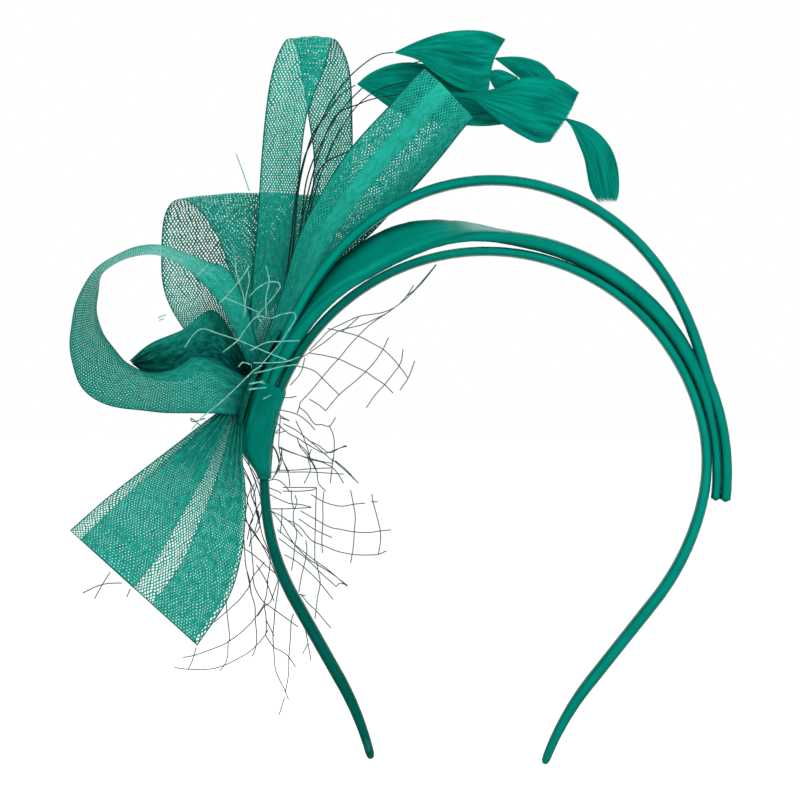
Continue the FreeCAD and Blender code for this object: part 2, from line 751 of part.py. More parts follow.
def build():
    """Every named piece of the headpiece."""
    parts = {}
    headband = headband_stations()
    middle = arch_stations(middle_radius, middle_twist, middle_width, MIDDLE_T)
    upper = arch_stations(upper_radius, lambda angle: 0.0, lambda angle: UPPER_W, UPPER_T)
    parts["headband_cover"], parts["headband_core"] = cover_and_core(headband)
    parts["middle_band_cover"], parts["middle_band_core"] = cover_and_core(middle)
    parts["upper_band_cover"], parts["upper_band_core"] = cover_and_core(upper)
    parts["right_end_glue"] = glue_films(RIGHT_GLUE_FROM, RIGHT_GLUE_TO)
    parts["left_end_glue"] = glue_films(LEFT_GLUE_FROM, LEFT_GLUE_TO)
    parts["left_join_sleeve"] = join_sleeve()
    parts["felt_pad"] = felt_pad()
    parts["pad_stitches"] = pad_stitches()
    parts["crin_tall_loop"] = ribbon(TALL_LOOP, TALL_LOOP_START, TALL_LOOP_END)
    parts["crin_right_loop"] = ribbon(RIGHT_LOOP, RIGHT_LOOP_START, RIGHT_LOOP_END)
    parts["crin_back_loop"] = ribbon(BACK_LOOP, BACK_LOOP_START, BACK_LOOP_END)
    parts["crin_ring"] = ribbon(RING, RING_START, RING_END)
    parts["crin_ruffle"] = ribbon(RUFFLE, None, RUFFLE_END)
    parts["crin_tail_back"] = ribbon(TAIL, TAIL_START)
    parts["crin_tail_pleats"] = tail_pleats()
    feathers = [
        ("feather_centre", CENTRE_VANE, CENTRE_QUILL),
        ("feather_small", SMALL_VANE, SMALL_QUILL),
        ("feather_top", TOP_VANE, TOP_QUILL),
        ("feather_drooping", DROOPING_VANE, DROOPING_QUILL),
        ("feather_left", LEFT_VANE, LEFT_QUILL),
        ("feather_back", BACK_VANE, BACK_QUILL),
    ]
    for slot, (name, vane_rows, quill_rows) in enumerate(feathers):
        parts[name] = feather(vane_rows, quill_rows, slot)
    band_front = -(stack_width() / 2 + VEIL_GAP + THREAD_T)
    sleeve_front = -(sleeve_half_width() + VEIL_GAP + THREAD_T)
    parts["veil_upper"] = veil(UPPER_VEIL, band_front)
    parts["veil_lower_right"] = veil(LOWER_RIGHT_VEIL, sleeve_front)
    parts["veil_lower_left"] = veil(LOWER_LEFT_VEIL, sleeve_half_width() + VEIL_GAP)
    parts["veil_front"] = veil(FRONT_VEIL, band_front)
    return parts


os.makedirs("parts", exist_ok=True)
for name, shape in build().items():
    print(name, "solids", len(shape.Solids), "volume", round(shape.Volume, 1), "valid", shape.isValid())
    shape.exportStep("parts/" + name + ".step")
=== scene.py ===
import math

import bpy
import numpy as np
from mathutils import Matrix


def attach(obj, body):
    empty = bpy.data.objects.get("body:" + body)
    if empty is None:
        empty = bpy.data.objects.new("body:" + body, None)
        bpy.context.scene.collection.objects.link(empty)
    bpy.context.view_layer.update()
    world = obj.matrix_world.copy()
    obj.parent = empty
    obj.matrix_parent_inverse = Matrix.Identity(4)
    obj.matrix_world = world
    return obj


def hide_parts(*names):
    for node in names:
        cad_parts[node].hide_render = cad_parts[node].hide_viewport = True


# A fascinator headpiece in green satin, crin ribbon, cut feathers and veil net.
# Points are millimetres in the frame of the part: X to the right, Y back, Z up.

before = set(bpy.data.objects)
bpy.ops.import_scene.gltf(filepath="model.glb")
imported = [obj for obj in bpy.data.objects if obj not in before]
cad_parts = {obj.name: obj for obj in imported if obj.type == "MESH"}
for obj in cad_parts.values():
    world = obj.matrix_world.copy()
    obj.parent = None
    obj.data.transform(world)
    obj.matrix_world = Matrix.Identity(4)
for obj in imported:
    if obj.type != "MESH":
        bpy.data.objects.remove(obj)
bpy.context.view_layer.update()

MM = 0.001


def unit(v):
    return v / np.maximum(np.linalg.norm(v, axis=-1, keepdims=True), 1e-9)


def smooth(rows, steps):
    """Rows of points with more rows between them.

    Each span is the Catmull-Rom cubic through its two rows and the rows beside them,
    worked out for every column at once.
    """
    rows = np.asarray(rows, float)
    ends = np.concatenate([2 * rows[:1] - rows[1:2], rows, 2 * rows[-1:] - rows[-2:-1]])
    n = len(rows) - 1
    p0, p1, p2, p3 = (ends[k:k + n, None] for k in range(4))
    t = (np.arange(steps) / steps).reshape((1, steps) + (1,) * (rows.ndim - 1))
    spans = (2 * p1 + (p2 - p0) * t + (2 * p0 - 5 * p1 + 4 * p2 - p3) * t ** 2
             + (3 * p1 - p0 - 3 * p2 + p3) * t ** 3) / 2
    return np.concatenate([spans.reshape((-1,) + rows.shape[1:]), rows[-1:]])


def length_along(points):
    """The length walked from the first row to each row, for every column."""
    steps = np.linalg.norm(np.diff(points, axis=0), axis=-1)
    return np.concatenate([np.zeros((1,) + steps.shape[1:]), np.cumsum(steps, axis=0)])


def grid_faces(n, m, round_m=False):
    """Quads of a grid of n rows and m columns, closed across the columns if asked."""
    i, j = np.meshgrid(np.arange(n - 1), np.arange(m if round_m else m - 1), indexing="ij")
    k = (j + 1) % m
    return np.stack([i * m + j, i * m + k, (i + 1) * m + k, (i + 1) * m + j], -1).reshape(-1, 4)


def piece(name, points, faces, node, material, maps=None):
    """A mesh object from points in millimetres and quads, with a map of values at its points."""
    mesh = bpy.data.meshes.new(name)
    faces = np.asarray(faces)
    mesh.vertices.add(len(points))
    mesh.vertices.foreach_set("co", (np.asarray(points, float) * MM).ravel())
    mesh.loops.add(faces.size)
    mesh.loops.foreach_set("vertex_index", faces.ravel())
    mesh.polygons.add(len(faces))
    mesh.polygons.foreach_set("loop_start", np.arange(0, faces.size, faces.shape[1]))
    mesh.update(calc_edges=True)
    mesh.validate()
    for title, values in (maps or {}).items():
        layer = mesh.uv_layers.new(name=title)
        layer.data.foreach_set("uv", np.asarray(values, float)[faces.ravel()].ravel())
    mesh.polygons.foreach_set("use_smooth", np.ones(len(faces), bool))
    mesh.materials.append(material)
    made = bpy.data.objects.new(name, mesh)
    bpy.context.scene.collection.objects.link(made)
    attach(made, "root")
    for one in node if isinstance(node, (list, tuple)) else [node]:
        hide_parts(one)
    return made


# Node groups and materials

def value(tree, op, *inputs):
    """A Math node; its inputs are sockets or numbers."""
    made = tree.nodes.new("ShaderNodeMath")
    made.operation = op
    for k, item in enumerate(inputs):
        if isinstance(item, (int, float)):
            made.inputs[k].default_value = item
        else:
            tree.links.new(item, made.inputs[k])
    return made.outputs[0]


def group(name, inputs, outputs):
    tree = bpy.data.node_groups.new(name, "ShaderNodeTree")
    for title, kind in inputs:
        tree.interface.new_socket(title, in_out="INPUT", socket_type=kind)
    for title, kind in outputs:
        tree.interface.new_socket(title, in_out="OUTPUT", socket_type=kind)
    return tree, tree.nodes.new("NodeGroupInput"), tree.nodes.new("NodeGroupOutput")


def noise(tree, vector, scale, detail=2.0):
    made = tree.nodes.new("ShaderNodeTexNoise")
    made.inputs["Scale"].default_value = scale
    made.inputs["Detail"].default_value = detail
    tree.links.new(vector, made.inputs["Vector"])
    return made.outputs["Fac"]


def stretched(tree, vector, scale):
    """A vector scaled by its own amount on each axis."""
    made = tree.nodes.new("ShaderNodeVectorMath")
    made.operation = "MULTIPLY"
    made.inputs[1].default_value = scale
    tree.links.new(vector, made.inputs[0])
    return made.outputs[0]


# Pitch of the braid across and along a ribbon, and how far its lines wander, in metres.
BRAID_ACROSS = 0.00105
BRAID_ALONG = 0.0015
BRAID_WANDER = 0.0018


def braid_group():
    """Crin: two families of diagonal threads; a point is thread where it is near a line of either.

    The lines wander slowly and the threads are uneven, as in a plaited ribbon.
    """
    tree, start, end = group("Crin braid", [("Cloth", "NodeSocketVector"), ("Thread", "NodeSocketFloat")],
                             [("Mask", "NodeSocketFloat"), ("Tone", "NodeSocketFloat")])
    cloth = start.outputs["Cloth"]
    split = tree.nodes.new("ShaderNodeSeparateXYZ")
    tree.links.new(cloth, split.inputs[0])
    wander = value(tree, "MULTIPLY", value(tree, "SUBTRACT", noise(tree, cloth, 300.0, 1.0), 0.5),
                   BRAID_WANDER)
    x = value(tree, "DIVIDE", value(tree, "ADD", split.outputs[0], wander), BRAID_ACROSS)
    y = value(tree, "DIVIDE", split.outputs[1], BRAID_ALONG)
    open_share = value(tree, "SUBTRACT", 1.0, start.outputs["Thread"])
    uneven = value(tree, "MULTIPLY", value(tree, "SUBTRACT", noise(tree, cloth, 620.0, 1.0), 0.5), open_share)
    half = value(tree, "MULTIPLY", value(tree, "ADD", start.outputs["Thread"], uneven), 0.5)
    masks = []
    for op in ("ADD", "SUBTRACT"):
        line = value(tree, "PINGPONG", value(tree, op, x, y), 0.5)
        masks.append(value(tree, "LESS_THAN", line, half))
    tree.links.new(value(tree, "MAXIMUM", *masks), end.inputs["Mask"])
    tree.links.new(noise(tree, stretched(tree, cloth, (900.0, 420.0, 1.0)), 1.0, 2.0), end.inputs["Tone"])
    return tree


def barb_group():
    """Feather: fine barbs that run along the vane, seen as streaks, and a fringe cut at the tip."""
    tree, start, end = group("Feather barbs", [("Vane", "NodeSocketVector"), ("Tip", "NodeSocketVector")],
                             [("Tone", "NodeSocketFloat"), ("Height", "NodeSocketFloat"),
                              ("Mask", "NodeSocketFloat")])
    fine = noise(tree, stretched(tree, start.outputs["Vane"], (5.0, 170.0, 1.0)), 1.0, 3.0)
    broad = noise(tree, stretched(tree, start.outputs["Vane"], (2.2, 9.0, 1.0)), 1.0, 2.0)
    tree.links.new(fine, end.inputs["Height"])
    tone = value(tree, "ADD", value(tree, "MULTIPLY", fine, 0.55), value(tree, "MULTIPLY", broad, 0.45))
    tree.links.new(tone, end.inputs["Tone"])
    split = tree.nodes.new("ShaderNodeSeparateXYZ")
    tree.links.new(start.outputs["Tip"], split.inputs[0])
    cut = noise(tree, stretched(tree, start.outputs["Vane"], (0.6, 260.0, 1.0)), 1.0, 1.0)
    reach = value(tree, "MULTIPLY", cut, split.outputs[1])
    tree.links.new(value(tree, "GREATER_THAN", split.outputs[0], reach), end.inputs["Mask"])
    return tree


def satin_group():
    """Satin: fine lines along the strip and slow changes of tone, from noise drawn out along it."""
    tree, start, end = group("Satin lines", [("Cloth", "NodeSocketVector")],
                             [("Tone", "NodeSocketFloat"), ("Height", "NodeSocketFloat")])
    lines = noise(tree, stretched(tree, start.outputs["Cloth"], (2600.0, 60.0, 1.0)), 1.0, 2.0)
    pulls = noise(tree, stretched(tree, start.outputs["Cloth"], (160.0, 70.0, 1.0)), 1.0, 3.0)
    tone = value(tree, "ADD", value(tree, "MULTIPLY", lines, 0.4), value(tree, "MULTIPLY", pulls, 0.6))
    tree.links.new(tone, end.inputs["Tone"])
    tree.links.new(value(tree, "ADD", value(tree, "MULTIPLY", lines, 0.25), pulls), end.inputs["Height"])
    return tree


BRAID = braid_group()
BARBS = barb_group()
SATIN = satin_group()


# What a finish reflects at a slant is tinted green, as light that has gone through dyed thread.
GLOSS_TINT = (0.02, 0.42, 0.34, 1)


def new_material(name, rough, specular):
    made = bpy.data.materials.new(name)
    made.use_nodes = True
    tree = made.node_tree
    shader = tree.nodes["Principled BSDF"]
    shader.inputs["Roughness"].default_value = rough
    shader.inputs["Specular IOR Level"].default_value = specular
    shader.inputs["Specular Tint"].default_value = GLOSS_TINT
    return made, tree, shader


def placed(tree, kind, vector_map):
    """A group placed in a material, with a UV map on its first input."""
    made = tree.nodes.new("ShaderNodeGroup")
    made.node_tree = kind
    uv = tree.nodes.new("ShaderNodeUVMap")
    uv.uv_map = vector_map
    tree.links.new(uv.outputs[0], made.inputs[0])
    return made


def uv_values(tree, title):
    """The two values of a UV map."""
    uv = tree.nodes.new("ShaderNodeUVMap")
    uv.uv_map = title
    split = tree.nodes.new("ShaderNodeSeparateXYZ")
    tree.links.new(uv.outputs[0], split.inputs[0])
    return split.outputs[0], split.outputs[1]


def two_tone(tree, tone, low, high, dark, light):
    """A colour between two, as a tone goes from low to high."""
    ramp = tree.nodes.new("ShaderNodeValToRGB")
    ramp.color_ramp.elements[0].position = low
    ramp.color_ramp.elements[1].position = high
    ramp.color_ramp.elements[0].color = (*dark, 1)
    ramp.color_ramp.elements[1].color = (*light, 1)
    tree.links.new(tone, ramp.inputs[0])
    return ramp.outputs[0]


def bump(tree, shader, height, strength, distance):
    made = tree.nodes.new("ShaderNodeBump")
    made.inputs["Strength"].default_value = strength
    made.inputs["Distance"].default_value = distance
    tree.links.new(height, made.inputs["Height"])
    tree.links.new(made.outputs[0], shader.inputs["Normal"])


def mixed(tree, factor, first, second):
    made = tree.nodes.new("ShaderNodeMix")
    made.data_type = "RGBA"
    tree.links.new(factor, made.inputs["Factor"])
    for socket, item in ((made.inputs[6], first), (made.inputs[7], second)):
        if isinstance(item, tuple):
            socket.default_value = (*item, 1)
        else:
            tree.links.new(item, socket)
    return made.outputs[2]


# A ribbon is thread all over this close to its edges, in metres.
RIBBON_RIM = 0.00035


def crin_material():
    """Crin, see-through between its threads.

    The map cover holds how much of the cloth is thread and its tone, and the map edge how near
    its edges are.
    """
    made, tree, shader = new_material("Crin", 0.5, 0.06)
    weave = placed(tree, BRAID, "cloth")
    cover, edge = (uv_values(tree, title) for title in ("cover", "edge"))
    tree.links.new(cover[0], weave.inputs["Thread"])
    rim = value(tree, "LESS_THAN", value(tree, "MINIMUM", *edge), RIBBON_RIM)
    tree.links.new(value(tree, "MAXIMUM", weave.outputs["Mask"], rim), shader.inputs["Alpha"])
    tone = value(tree, "ADD", value(tree, "MULTIPLY", weave.outputs["Tone"], 0.7), cover[1])
    colour = two_tone(tree, tone, 0.3, 1.1, (0.0005, 0.06, 0.05), (0.02, 0.46, 0.35))
    tree.links.new(mixed(tree, rim, colour, (0.002, 0.12, 0.095)), shader.inputs["Base Color"])
    return made


def satin_material():
    """Satin; the map shade holds painted light, painted shade and painted highlights that scale its colour.
    """
    made, tree, shader = new_material("Satin", 0.38, 0.05)
    lines = placed(tree, SATIN, "cloth")
    colour = two_tone(tree, lines.outputs["Tone"], 0.3, 0.7, (0.0004, 0.20, 0.15), (0.0008, 0.30, 0.225))
    shaded = tree.nodes.new("ShaderNodeVectorMath")
    shaded.operation = "SCALE"
    tree.links.new(colour, shaded.inputs[0])
    tree.links.new(uv_values(tree, "shade")[0], shaded.inputs["Scale"])
    tree.links.new(shaded.outputs[0], shader.inputs["Base Color"])
    bump(tree, shader, lines.outputs["Height"], 0.25, 0.0004)
    return made


def feather_material():
    made, tree, shader = new_material("Feather", 0.55, 0.05)
    barbs = placed(tree, BARBS, "vane")
    tip = tree.nodes.new("ShaderNodeUVMap")
    tip.uv_map = "tip"
    tree.links.new(tip.outputs[0], barbs.inputs["Tip"])
    colour = two_tone(tree, barbs.outputs["Tone"], 0.38, 0.62, (0.0006, 0.10, 0.075), (0.002, 0.36, 0.265))
    tree.links.new(colour, shader.inputs["Base Color"])
    tree.links.new(barbs.outputs["Mask"], shader.inputs["Alpha"])
    bump(tree, shader, barbs.outputs["Height"], 0.3, 0.0002)
    return made


def plain_material(name, rough, specular, dark, light, scale, strength, distance):
    """One finish with a fine grain in Object coordinates, which also raises its surface."""
    made, tree, shader = new_material(name, rough, specular)
    place = tree.nodes.new("ShaderNodeTexCoord")
    grain = noise(tree, place.outputs["Object"], scale, 4.0)
    tree.links.new(two_tone(tree, grain, 0.35, 0.65, dark, light), shader.inputs["Base Color"])
    bump(tree, shader, grain, strength, distance)
    return made


CRIN = crin_material()
SATIN_CLOTH = satin_material()
FEATHER = feather_material()
QUILL = plain_material("Quill", 0.35, 0.4, (0.002, 0.014, 0.012), (0.004, 0.035, 0.028), 900.0, 0.2, 0.0001)
VEIL = plain_material("Veil thread", 0.5, 0.1, (0.02, 0.07, 0.06), (0.06, 0.15, 0.13), 700.0, 0.2, 0.0001)
# Painted light: the same veil thread in a paler colour, as if lit, for the front net.
VEIL_PAINTED_LIT = plain_material("Veil thread painted lit", 0.5, 0.1,
                           (0.10, 0.42, 0.34), (0.28, 0.66, 0.56), 700.0, 0.2, 0.0001)
FELT = plain_material("Felt", 0.95, 0.1, (0.002, 0.09, 0.07), (0.004, 0.17, 0.13), 1400.0, 0.8, 0.0006)
STRIP = plain_material("Plastic strip", 0.5, 0.4,
                       (0.004, 0.11, 0.09), (0.006, 0.15, 0.12), 300.0, 0.1, 0.0001)
GLUE = plain_material("Glue", 0.25, 0.5, (0.20, 0.34, 0.29), (0.28, 0.42, 0.36), 200.0, 0.3, 0.0003)
SEWING = plain_material("Sewing thread", 0.6, 0.2,
                        (0.002, 0.12, 0.09), (0.01, 0.24, 0.19), 2500.0, 0.5, 0.0002)

for title, finish in (("headband_core", STRIP), ("middle_band_core", STRIP), ("upper_band_core", STRIP),
                      ("right_end_glue", GLUE), ("left_end_glue", GLUE)):
    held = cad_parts[title]
    held.data.materials.clear()
    held.data.materials.append(finish)


# The satin bands

def hill(angle, start, end, power):
    """0 at start, 1 halfway and 0 at end, as a sine raised to a power."""
    share = np.clip((angle - start) / (end - start), 0.0, 1.0)
    return np.sin(np.pi * share) ** power


def polar(radius, angle, y=0.0):
    turn = np.radians(angle)
    return np.stack([radius * np.cos(turn), y + 0 * turn * radius, radius * np.sin(turn)], -1)


CROWN_R_IN = 65.3
HEADBAND_W = 9.0
HEADBAND_T = 2.5
LEG_T = 3.4
TIP_T = 2.3
TIP_W = 6.0
STACK_GAP = 0.3
MIDDLE_T = 2.4
UPPER_T = 2.9

# Turn of the crown, then turn and radius of each bend, the straight leg and the flare's turn
# and radius, in degrees and millimetres.
LEFT_HALF = (88.5, [(10.5, 91.0), (20.5, 69.0)], 27.0, (15.0, 95.5))
RIGHT_HALF = (77.5, [(26.0, 52.5), (25.0, 75.5)], 31.0, (18.0, 86.0))


def half_headband(side, crown_turn, bends, straight, flare):
    """Half the headband from the top down: tangent arcs, a straight leg and an arc that flares out.

    Each arc is its hub plus a radius that turns by equal angles.
    """
    middle_r = CROWN_R_IN + HEADBAND_T / 2
    point = np.array([0.0, 0.0, middle_r])
    heading = 0.0
    centres, normals, sizes = [], [], []
    thick = HEADBAND_T
    bend_total = sum(turn for turn, radius in bends)
    for turn, radius in [(crown_turn, middle_r)] + bends:
        angle = heading + np.radians(np.linspace(0, turn, int(turn) + 2))[1:]
        hub = point - radius * np.array([side * math.sin(heading), 0, math.cos(heading)])
        out = np.stack([side * np.sin(angle), 0 * angle, np.cos(angle)], -1)
        centres.append(hub + out * radius)
        normals.append(out)
        gain = 0.0 if radius == middle_r else (LEG_T - HEADBAND_T) * turn / bend_total
        grown = thick + gain * (angle - heading) / math.radians(turn)
        sizes.append(np.stack([HEADBAND_W + 0 * angle, grown], -1))
        thick += gain
        heading += math.radians(turn)
        point = centres[-1][-1]
    along = np.array([side * math.cos(heading), 0, -math.sin(heading)])
    out = np.array([side * math.sin(heading), 0, math.cos(heading)])
    run = np.linspace(0, straight, 16)[1:, None]
    centres.append(point + along * run)
    normals.append(out + 0 * run)
    sizes.append(np.array([HEADBAND_W, LEG_T]) + 0 * run)
    flare_turn, flare_r = flare
    hub = point + along * straight + out * flare_r
    share = np.linspace(0, 1, 24)[1:]
    angle = heading - math.radians(flare_turn) * share
    out = np.stack([side * np.sin(angle), 0 * angle, np.cos(angle)], -1)
    centres.append(hub - out * flare_r)
    normals.append(out)
    sizes.append(np.stack([HEADBAND_W + (TIP_W - HEADBAND_W) * share, LEG_T + (TIP_T - LEG_T) * share], -1))
    return np.concatenate(centres), np.concatenate(normals), np.concatenate(sizes)


def rounded_tip(centres, normals, sizes, last_mm, both=False):
    """The end closed round: over its last millimetres the size falls as a quarter circle does."""
    walked = length_along(centres)
    ends = [walked[-1] - walked]
    if both:
        ends.append(walked)
    for left in ends:
        share = np.clip(left / last_mm, 0.0, 1.0)
        sizes = sizes * np.sqrt(np.clip(1 - (1 - share) ** 2, 0.0004, 1.0))[:, None]
    return centres, normals, sizes


def wrapped(name, node, centres, normals, twist, sizes, puckers, seed, shade):
    """A satin cover round a strip, whose long edges overlap in a seam on the inner face.

    Across: a rounded rectangle, each axis the cosine or sine raised to a power under one,
    walked a little more than once round so that the last of it lies on the first. Along:
    the profile is carried on the line's centres. Small puckers lift it as sines of the
    length, strongest at the edges. shade is painted light on it, with painted shade on its corners.
    """
    across = np.array([0.0, 1.0, 0.0])
    turn = np.radians(twist)[:, None]
    side = across * np.cos(turn) + normals * np.sin(turn)
    up = normals * np.cos(turn) - across * np.sin(turn)
    u = np.linspace(-0.52, 0.52, 45)
    angle = np.pi / 2 + 2 * np.pi * u
    x = np.sign(np.cos(angle)) * np.abs(np.cos(angle)) ** 0.62
    z = np.sign(np.sin(angle)) * np.abs(np.sin(angle)) ** 0.55
    over = 0.10 * np.clip((u - 0.40) / 0.12, 0, 1)
    walked = length_along(centres)
    rng = np.random.default_rng(seed)
    waves = 0
    for size, period in ((0.05, 6.1), (0.04, 3.7), (0.03, 2.3)):
        phase = rng.uniform(0, 6.28)
        waves = waves + size * np.sin(walked[:, None] * 6.28 / period + phase + 2.2 * u[None] * 6.28)
    lift = over[None] + puckers * waves * (0.35 + 0.65 * np.abs(x)[None] ** 3)
    half_w = sizes[:, :1] / 2 + lift * 0.6
    half_t = sizes[:, 1:] / 2 + lift + 0.13
    fade = np.clip(sizes[:, 1:] / 1.5, 0, 1)
    points = (centres[:, None] + side[:, None] * (x[None] * half_w)[..., None]
              + up[:, None] * (z[None] * (half_t * fade + sizes[:, 1:] / 2 * (1 - fade)))[..., None])
    n, m = points.shape[:2]
    round_mm = u[None] * 22.0 + 0 * walked[:, None]
    cloth = np.stack([round_mm, walked[:, None] + 0 * round_mm], -1) * MM
    # Painted shade: the cover is darkened by up to 45% on its corners.
    corner_painted_shade = (np.abs(x * z) / 0.667) ** 4
    place = np.degrees(np.arctan2(centres[:, 2], centres[:, 0]))[:, None]
    shades = shade(place, x[None]) * (1 - 0.45 * corner_painted_shade) + 0 * round_mm
    made = piece(name, points.reshape(-1, 3), grid_faces(n, m), node, SATIN_CLOTH,
                 {"cloth": cloth.reshape(-1, 2), "shade": np.stack([shades, shades], -1).reshape(-1, 2)})
    return made


left = half_headband(-1, *LEFT_HALF)
right = half_headband(1, *RIGHT_HALF)
top = (np.array([[0.0, 0.0, CROWN_R_IN + HEADBAND_T / 2]]), np.array([[0.0, 0.0, 1.0]]),
       np.array([[HEADBAND_W, HEADBAND_T]]))
line = [np.concatenate([a[::-1], b, c]) for a, b, c in zip(left, top, right)]
last_along = unit(line[0][-1] - line[0][-2])
first_along = unit(line[0][0] - line[0][1])
tips = np.array([0.4, 0.7, 0.9, 1.05, 1.15, 1.2])[:, None]
line = [np.concatenate([(a + first_along * tips[::-1] if k == 0 else a + 0 * tips), b,
                        (c + last_along * tips if k == 0 else c + 0 * tips)])
        for k, (a, b, c) in enumerate((x[:1], x, x[-1:]) for x in line)]
line = rounded_tip(*line, 2.2, both=True)


def headband_painted_light(angle, x):
    """Painted light: painted shade on the left leg and a painted shadow under the middle band, a painted
    highlight over the crown and down the right.
    """
    turn = np.where(angle < -90, angle + 360, angle)
    tones = np.interp(turn, [-60, 0, 60, 100, 118, 150, 200, 240],
                      [1.0, 1.15, 1.05, 0.95, 0.6, 0.6, 0.5, 0.45])
    return tones + 0 * x


wrapped("headband_satin", "headband_cover", line[0], line[1], np.zeros(len(line[0])), line[2], 0.6,
        3, headband_painted_light)


# Places along the two upper bands, from their right ends to their left.
BAND_ANGLES = np.linspace(-7.0, 171.0, 260)


def arch(radius_at, twist_at, width_at, thick):
    """A band's centre line in polar form, with its normal square to the line."""
    angle = BAND_ANGLES
    ahead, behind = angle + 0.3, angle - 0.3
    along = unit(polar(radius_at(ahead), ahead) - polar(radius_at(behind), behind))
    normal = np.stack([along[:, 2], 0 * angle, -along[:, 0]], -1)
    sizes = np.stack([width_at(angle), thick + 0 * angle], -1)
    return (*rounded_tip(polar(radius_at(angle), angle), normal, sizes, 0.9, both=True), twist_at(angle))


MIDDLE_TWIST = 56.0
MIDDLE_END_W = 9.0
MIDDLE_EXTRA_W = 3.0
MIDDLE_RISE = 0.8
UPPER_W = 9.0
UPPER_RISE = 15.7


def middle_twist(angle):
    return MIDDLE_TWIST * hill(angle, 80.0, 148.0, 2)


def middle_width(angle):
    return MIDDLE_END_W + MIDDLE_EXTRA_W * hill(angle, 40.0, 158.0, 1)


def middle_radius(angle):
    turn = np.radians(middle_twist(angle))
    depth = (middle_width(angle) * np.sin(turn) + MIDDLE_T * np.cos(turn)) / 2
    return CROWN_R_IN + HEADBAND_T + STACK_GAP + depth + MIDDLE_RISE * hill(angle, 60.0, 125.0, 2)


def upper_radius(angle):
    seat = CROWN_R_IN + HEADBAND_T + STACK_GAP + MIDDLE_T + STACK_GAP
    return seat + UPPER_T / 2 + UPPER_RISE * hill(angle, 22.0, 150.0, 1.4)


def middle_fullness(angle):
    """How far the loose cover of the middle band stands off its strip on the outer side."""
    return 2.3 * hill(angle, 14.0, 98.0, 0.6) + 1.8 * hill(angle, 122.0, 160.0, 0.6)


def middle_painted_light(angle, x):
    """Painted light: a painted highlight as a bright streak by the inner edge where the band is turned to the
    front, with painted shade above it.
    """
    turned = hill(angle, 92.0, 158.0, 0.7)
    return 1.0 + turned * (1.2 * np.exp(-((np.abs(x) - 0.72) / 0.16) ** 2) * (x < 0) - 0.12)


# Painted highlight: the upper band is lightened by up to 12% towards its left end.
def upper_painted_highlight(angle, x):
    return 1.0 + 0.12 * hill(angle, 100.0, 160.0, 1) + 0 * x


def middle_lowered(angle):
    """How far that cover sits nearer the crown than its strip, where the band is turned."""
    return 0.25 * hill(angle, 100.0, 156.0, 0.5)


def middle_widened(angle):
    """How much wider that cover is than its strip, where the band is turned."""
    return 1.2 * hill(angle, 104.0, 156.0, 0.5)


def upper_width(angle):
    return UPPER_W + 0 * angle


def nowhere(angle):
    return 0 * angle


def stacked_band(title, line_at, thick, cover_at, seed, shade):
    """The cover of a band above the headband.

    line_at gives the strip's radius, turn and width at an angle; cover_at gives how much fuller,
    lower and wider than the strip its cover is there.
    """
    fuller, lowered, widened = (by(BAND_ANGLES) for by in cover_at)
    centres, normals, sizes, twist = arch(*line_at, thick)
    centres = centres + normals * (fuller / 2 - lowered)[:, None]
    sizes = sizes + np.stack([widened, fuller], -1)
    wrapped(title + "_satin", title + "_cover", centres, normals, twist, sizes, 0.8,
            seed, shade)


stacked_band("middle_band", (middle_radius, middle_twist, middle_width), MIDDLE_T,
             (middle_fullness, middle_lowered, middle_widened), 5, middle_painted_light)
stacked_band("upper_band", (upper_radius, nowhere, upper_width), UPPER_T,
             (nowhere, nowhere, nowhere), 7, upper_painted_highlight)


# The satin sleeve over the left ends, the felt pad and its stitches

# Angles round the crown where the sleeve starts and starts to narrow, how far round it goes
# and over how much of that it narrows.
SLEEVE_FROM = 158.0
SLEEVE_FULL_TO = 173.0
SLEEVE_LONG = 23.5
SLEEVE_NARROWS = 8.5


def sleeve():
    """The wrap: at each angle round the crown a rounded box, which narrows to the headband.

    Its folds are ridges of the angle round the box and the way along it.
    """
    u = np.linspace(-0.51, 0.51, 90)[None]
    turn = 2 * np.pi * u
    down = np.linspace(0, 1, 70)[:, None]
    dip = 1.2 + 1.0 * np.sin(turn + 0.8) + 0.2 * np.sin(5 * turn)
    angle = SLEEVE_FROM + SLEEVE_LONG * down - (1 - down) ** 3 * dip
    share = (1 + np.cos(np.pi * np.clip((angle - SLEEVE_FULL_TO) / SLEEVE_NARROWS, 0, 1))) / 2
    outset = 0.75 * np.clip(down / 0.06 + 0.2, 0, 1)
    r_in = CROWN_R_IN - outset
    flat_out = CROWN_R_IN + HEADBAND_T
    stack = CROWN_R_IN + HEADBAND_T + MIDDLE_T + UPPER_T + 2 * STACK_GAP
    r_out = flat_out + (stack - flat_out) * share + outset
    x = np.sign(np.sin(turn)) * np.abs(np.sin(turn)) ** 0.55
    z = np.sign(np.cos(turn)) * np.abs(np.cos(turn)) ** 0.55
    folds = 0.16 * np.sin(7 * turn + 5.0 * down + 1.3) + 0.12 * np.sin(13 * turn - 9.0 * down)
    folds = folds * (0.35 + 0.65 * np.sin(np.pi * down)) + 0.1 * np.clip((u - 0.42) / 0.08, 0, 1)
    radius = (r_in + r_out) / 2 + z * ((r_out - r_in) / 2 + folds)
    y = x * (HEADBAND_W / 2 + outset + folds)
    points = np.stack([radius * np.cos(np.radians(angle)), y, radius * np.sin(np.radians(angle))], -1)
    cloth = np.stack([u * 34.0 + 0 * angle, (angle - SLEEVE_FROM) * 1.25 + 0 * u], -1) * MM
    # Painted shade: the sleeve's whole cover is darkened to 0.8 by its shade map.
    made = piece("left_join_wrap", points.reshape(-1, 3), grid_faces(*points.shape[:2]),
                 "left_join_sleeve", SATIN_CLOTH,
                 {"cloth": cloth.reshape(-1, 2), "shade": np.full((cloth.size // 2, 2), 0.8)})


sleeve()

PAD_IN = CROWN_R_IN + HEADBAND_T + MIDDLE_T + UPPER_T + 2 * STACK_GAP + 0.85
PAD_OUT = PAD_IN + 1.5
PAD_ANGLE = 158.0


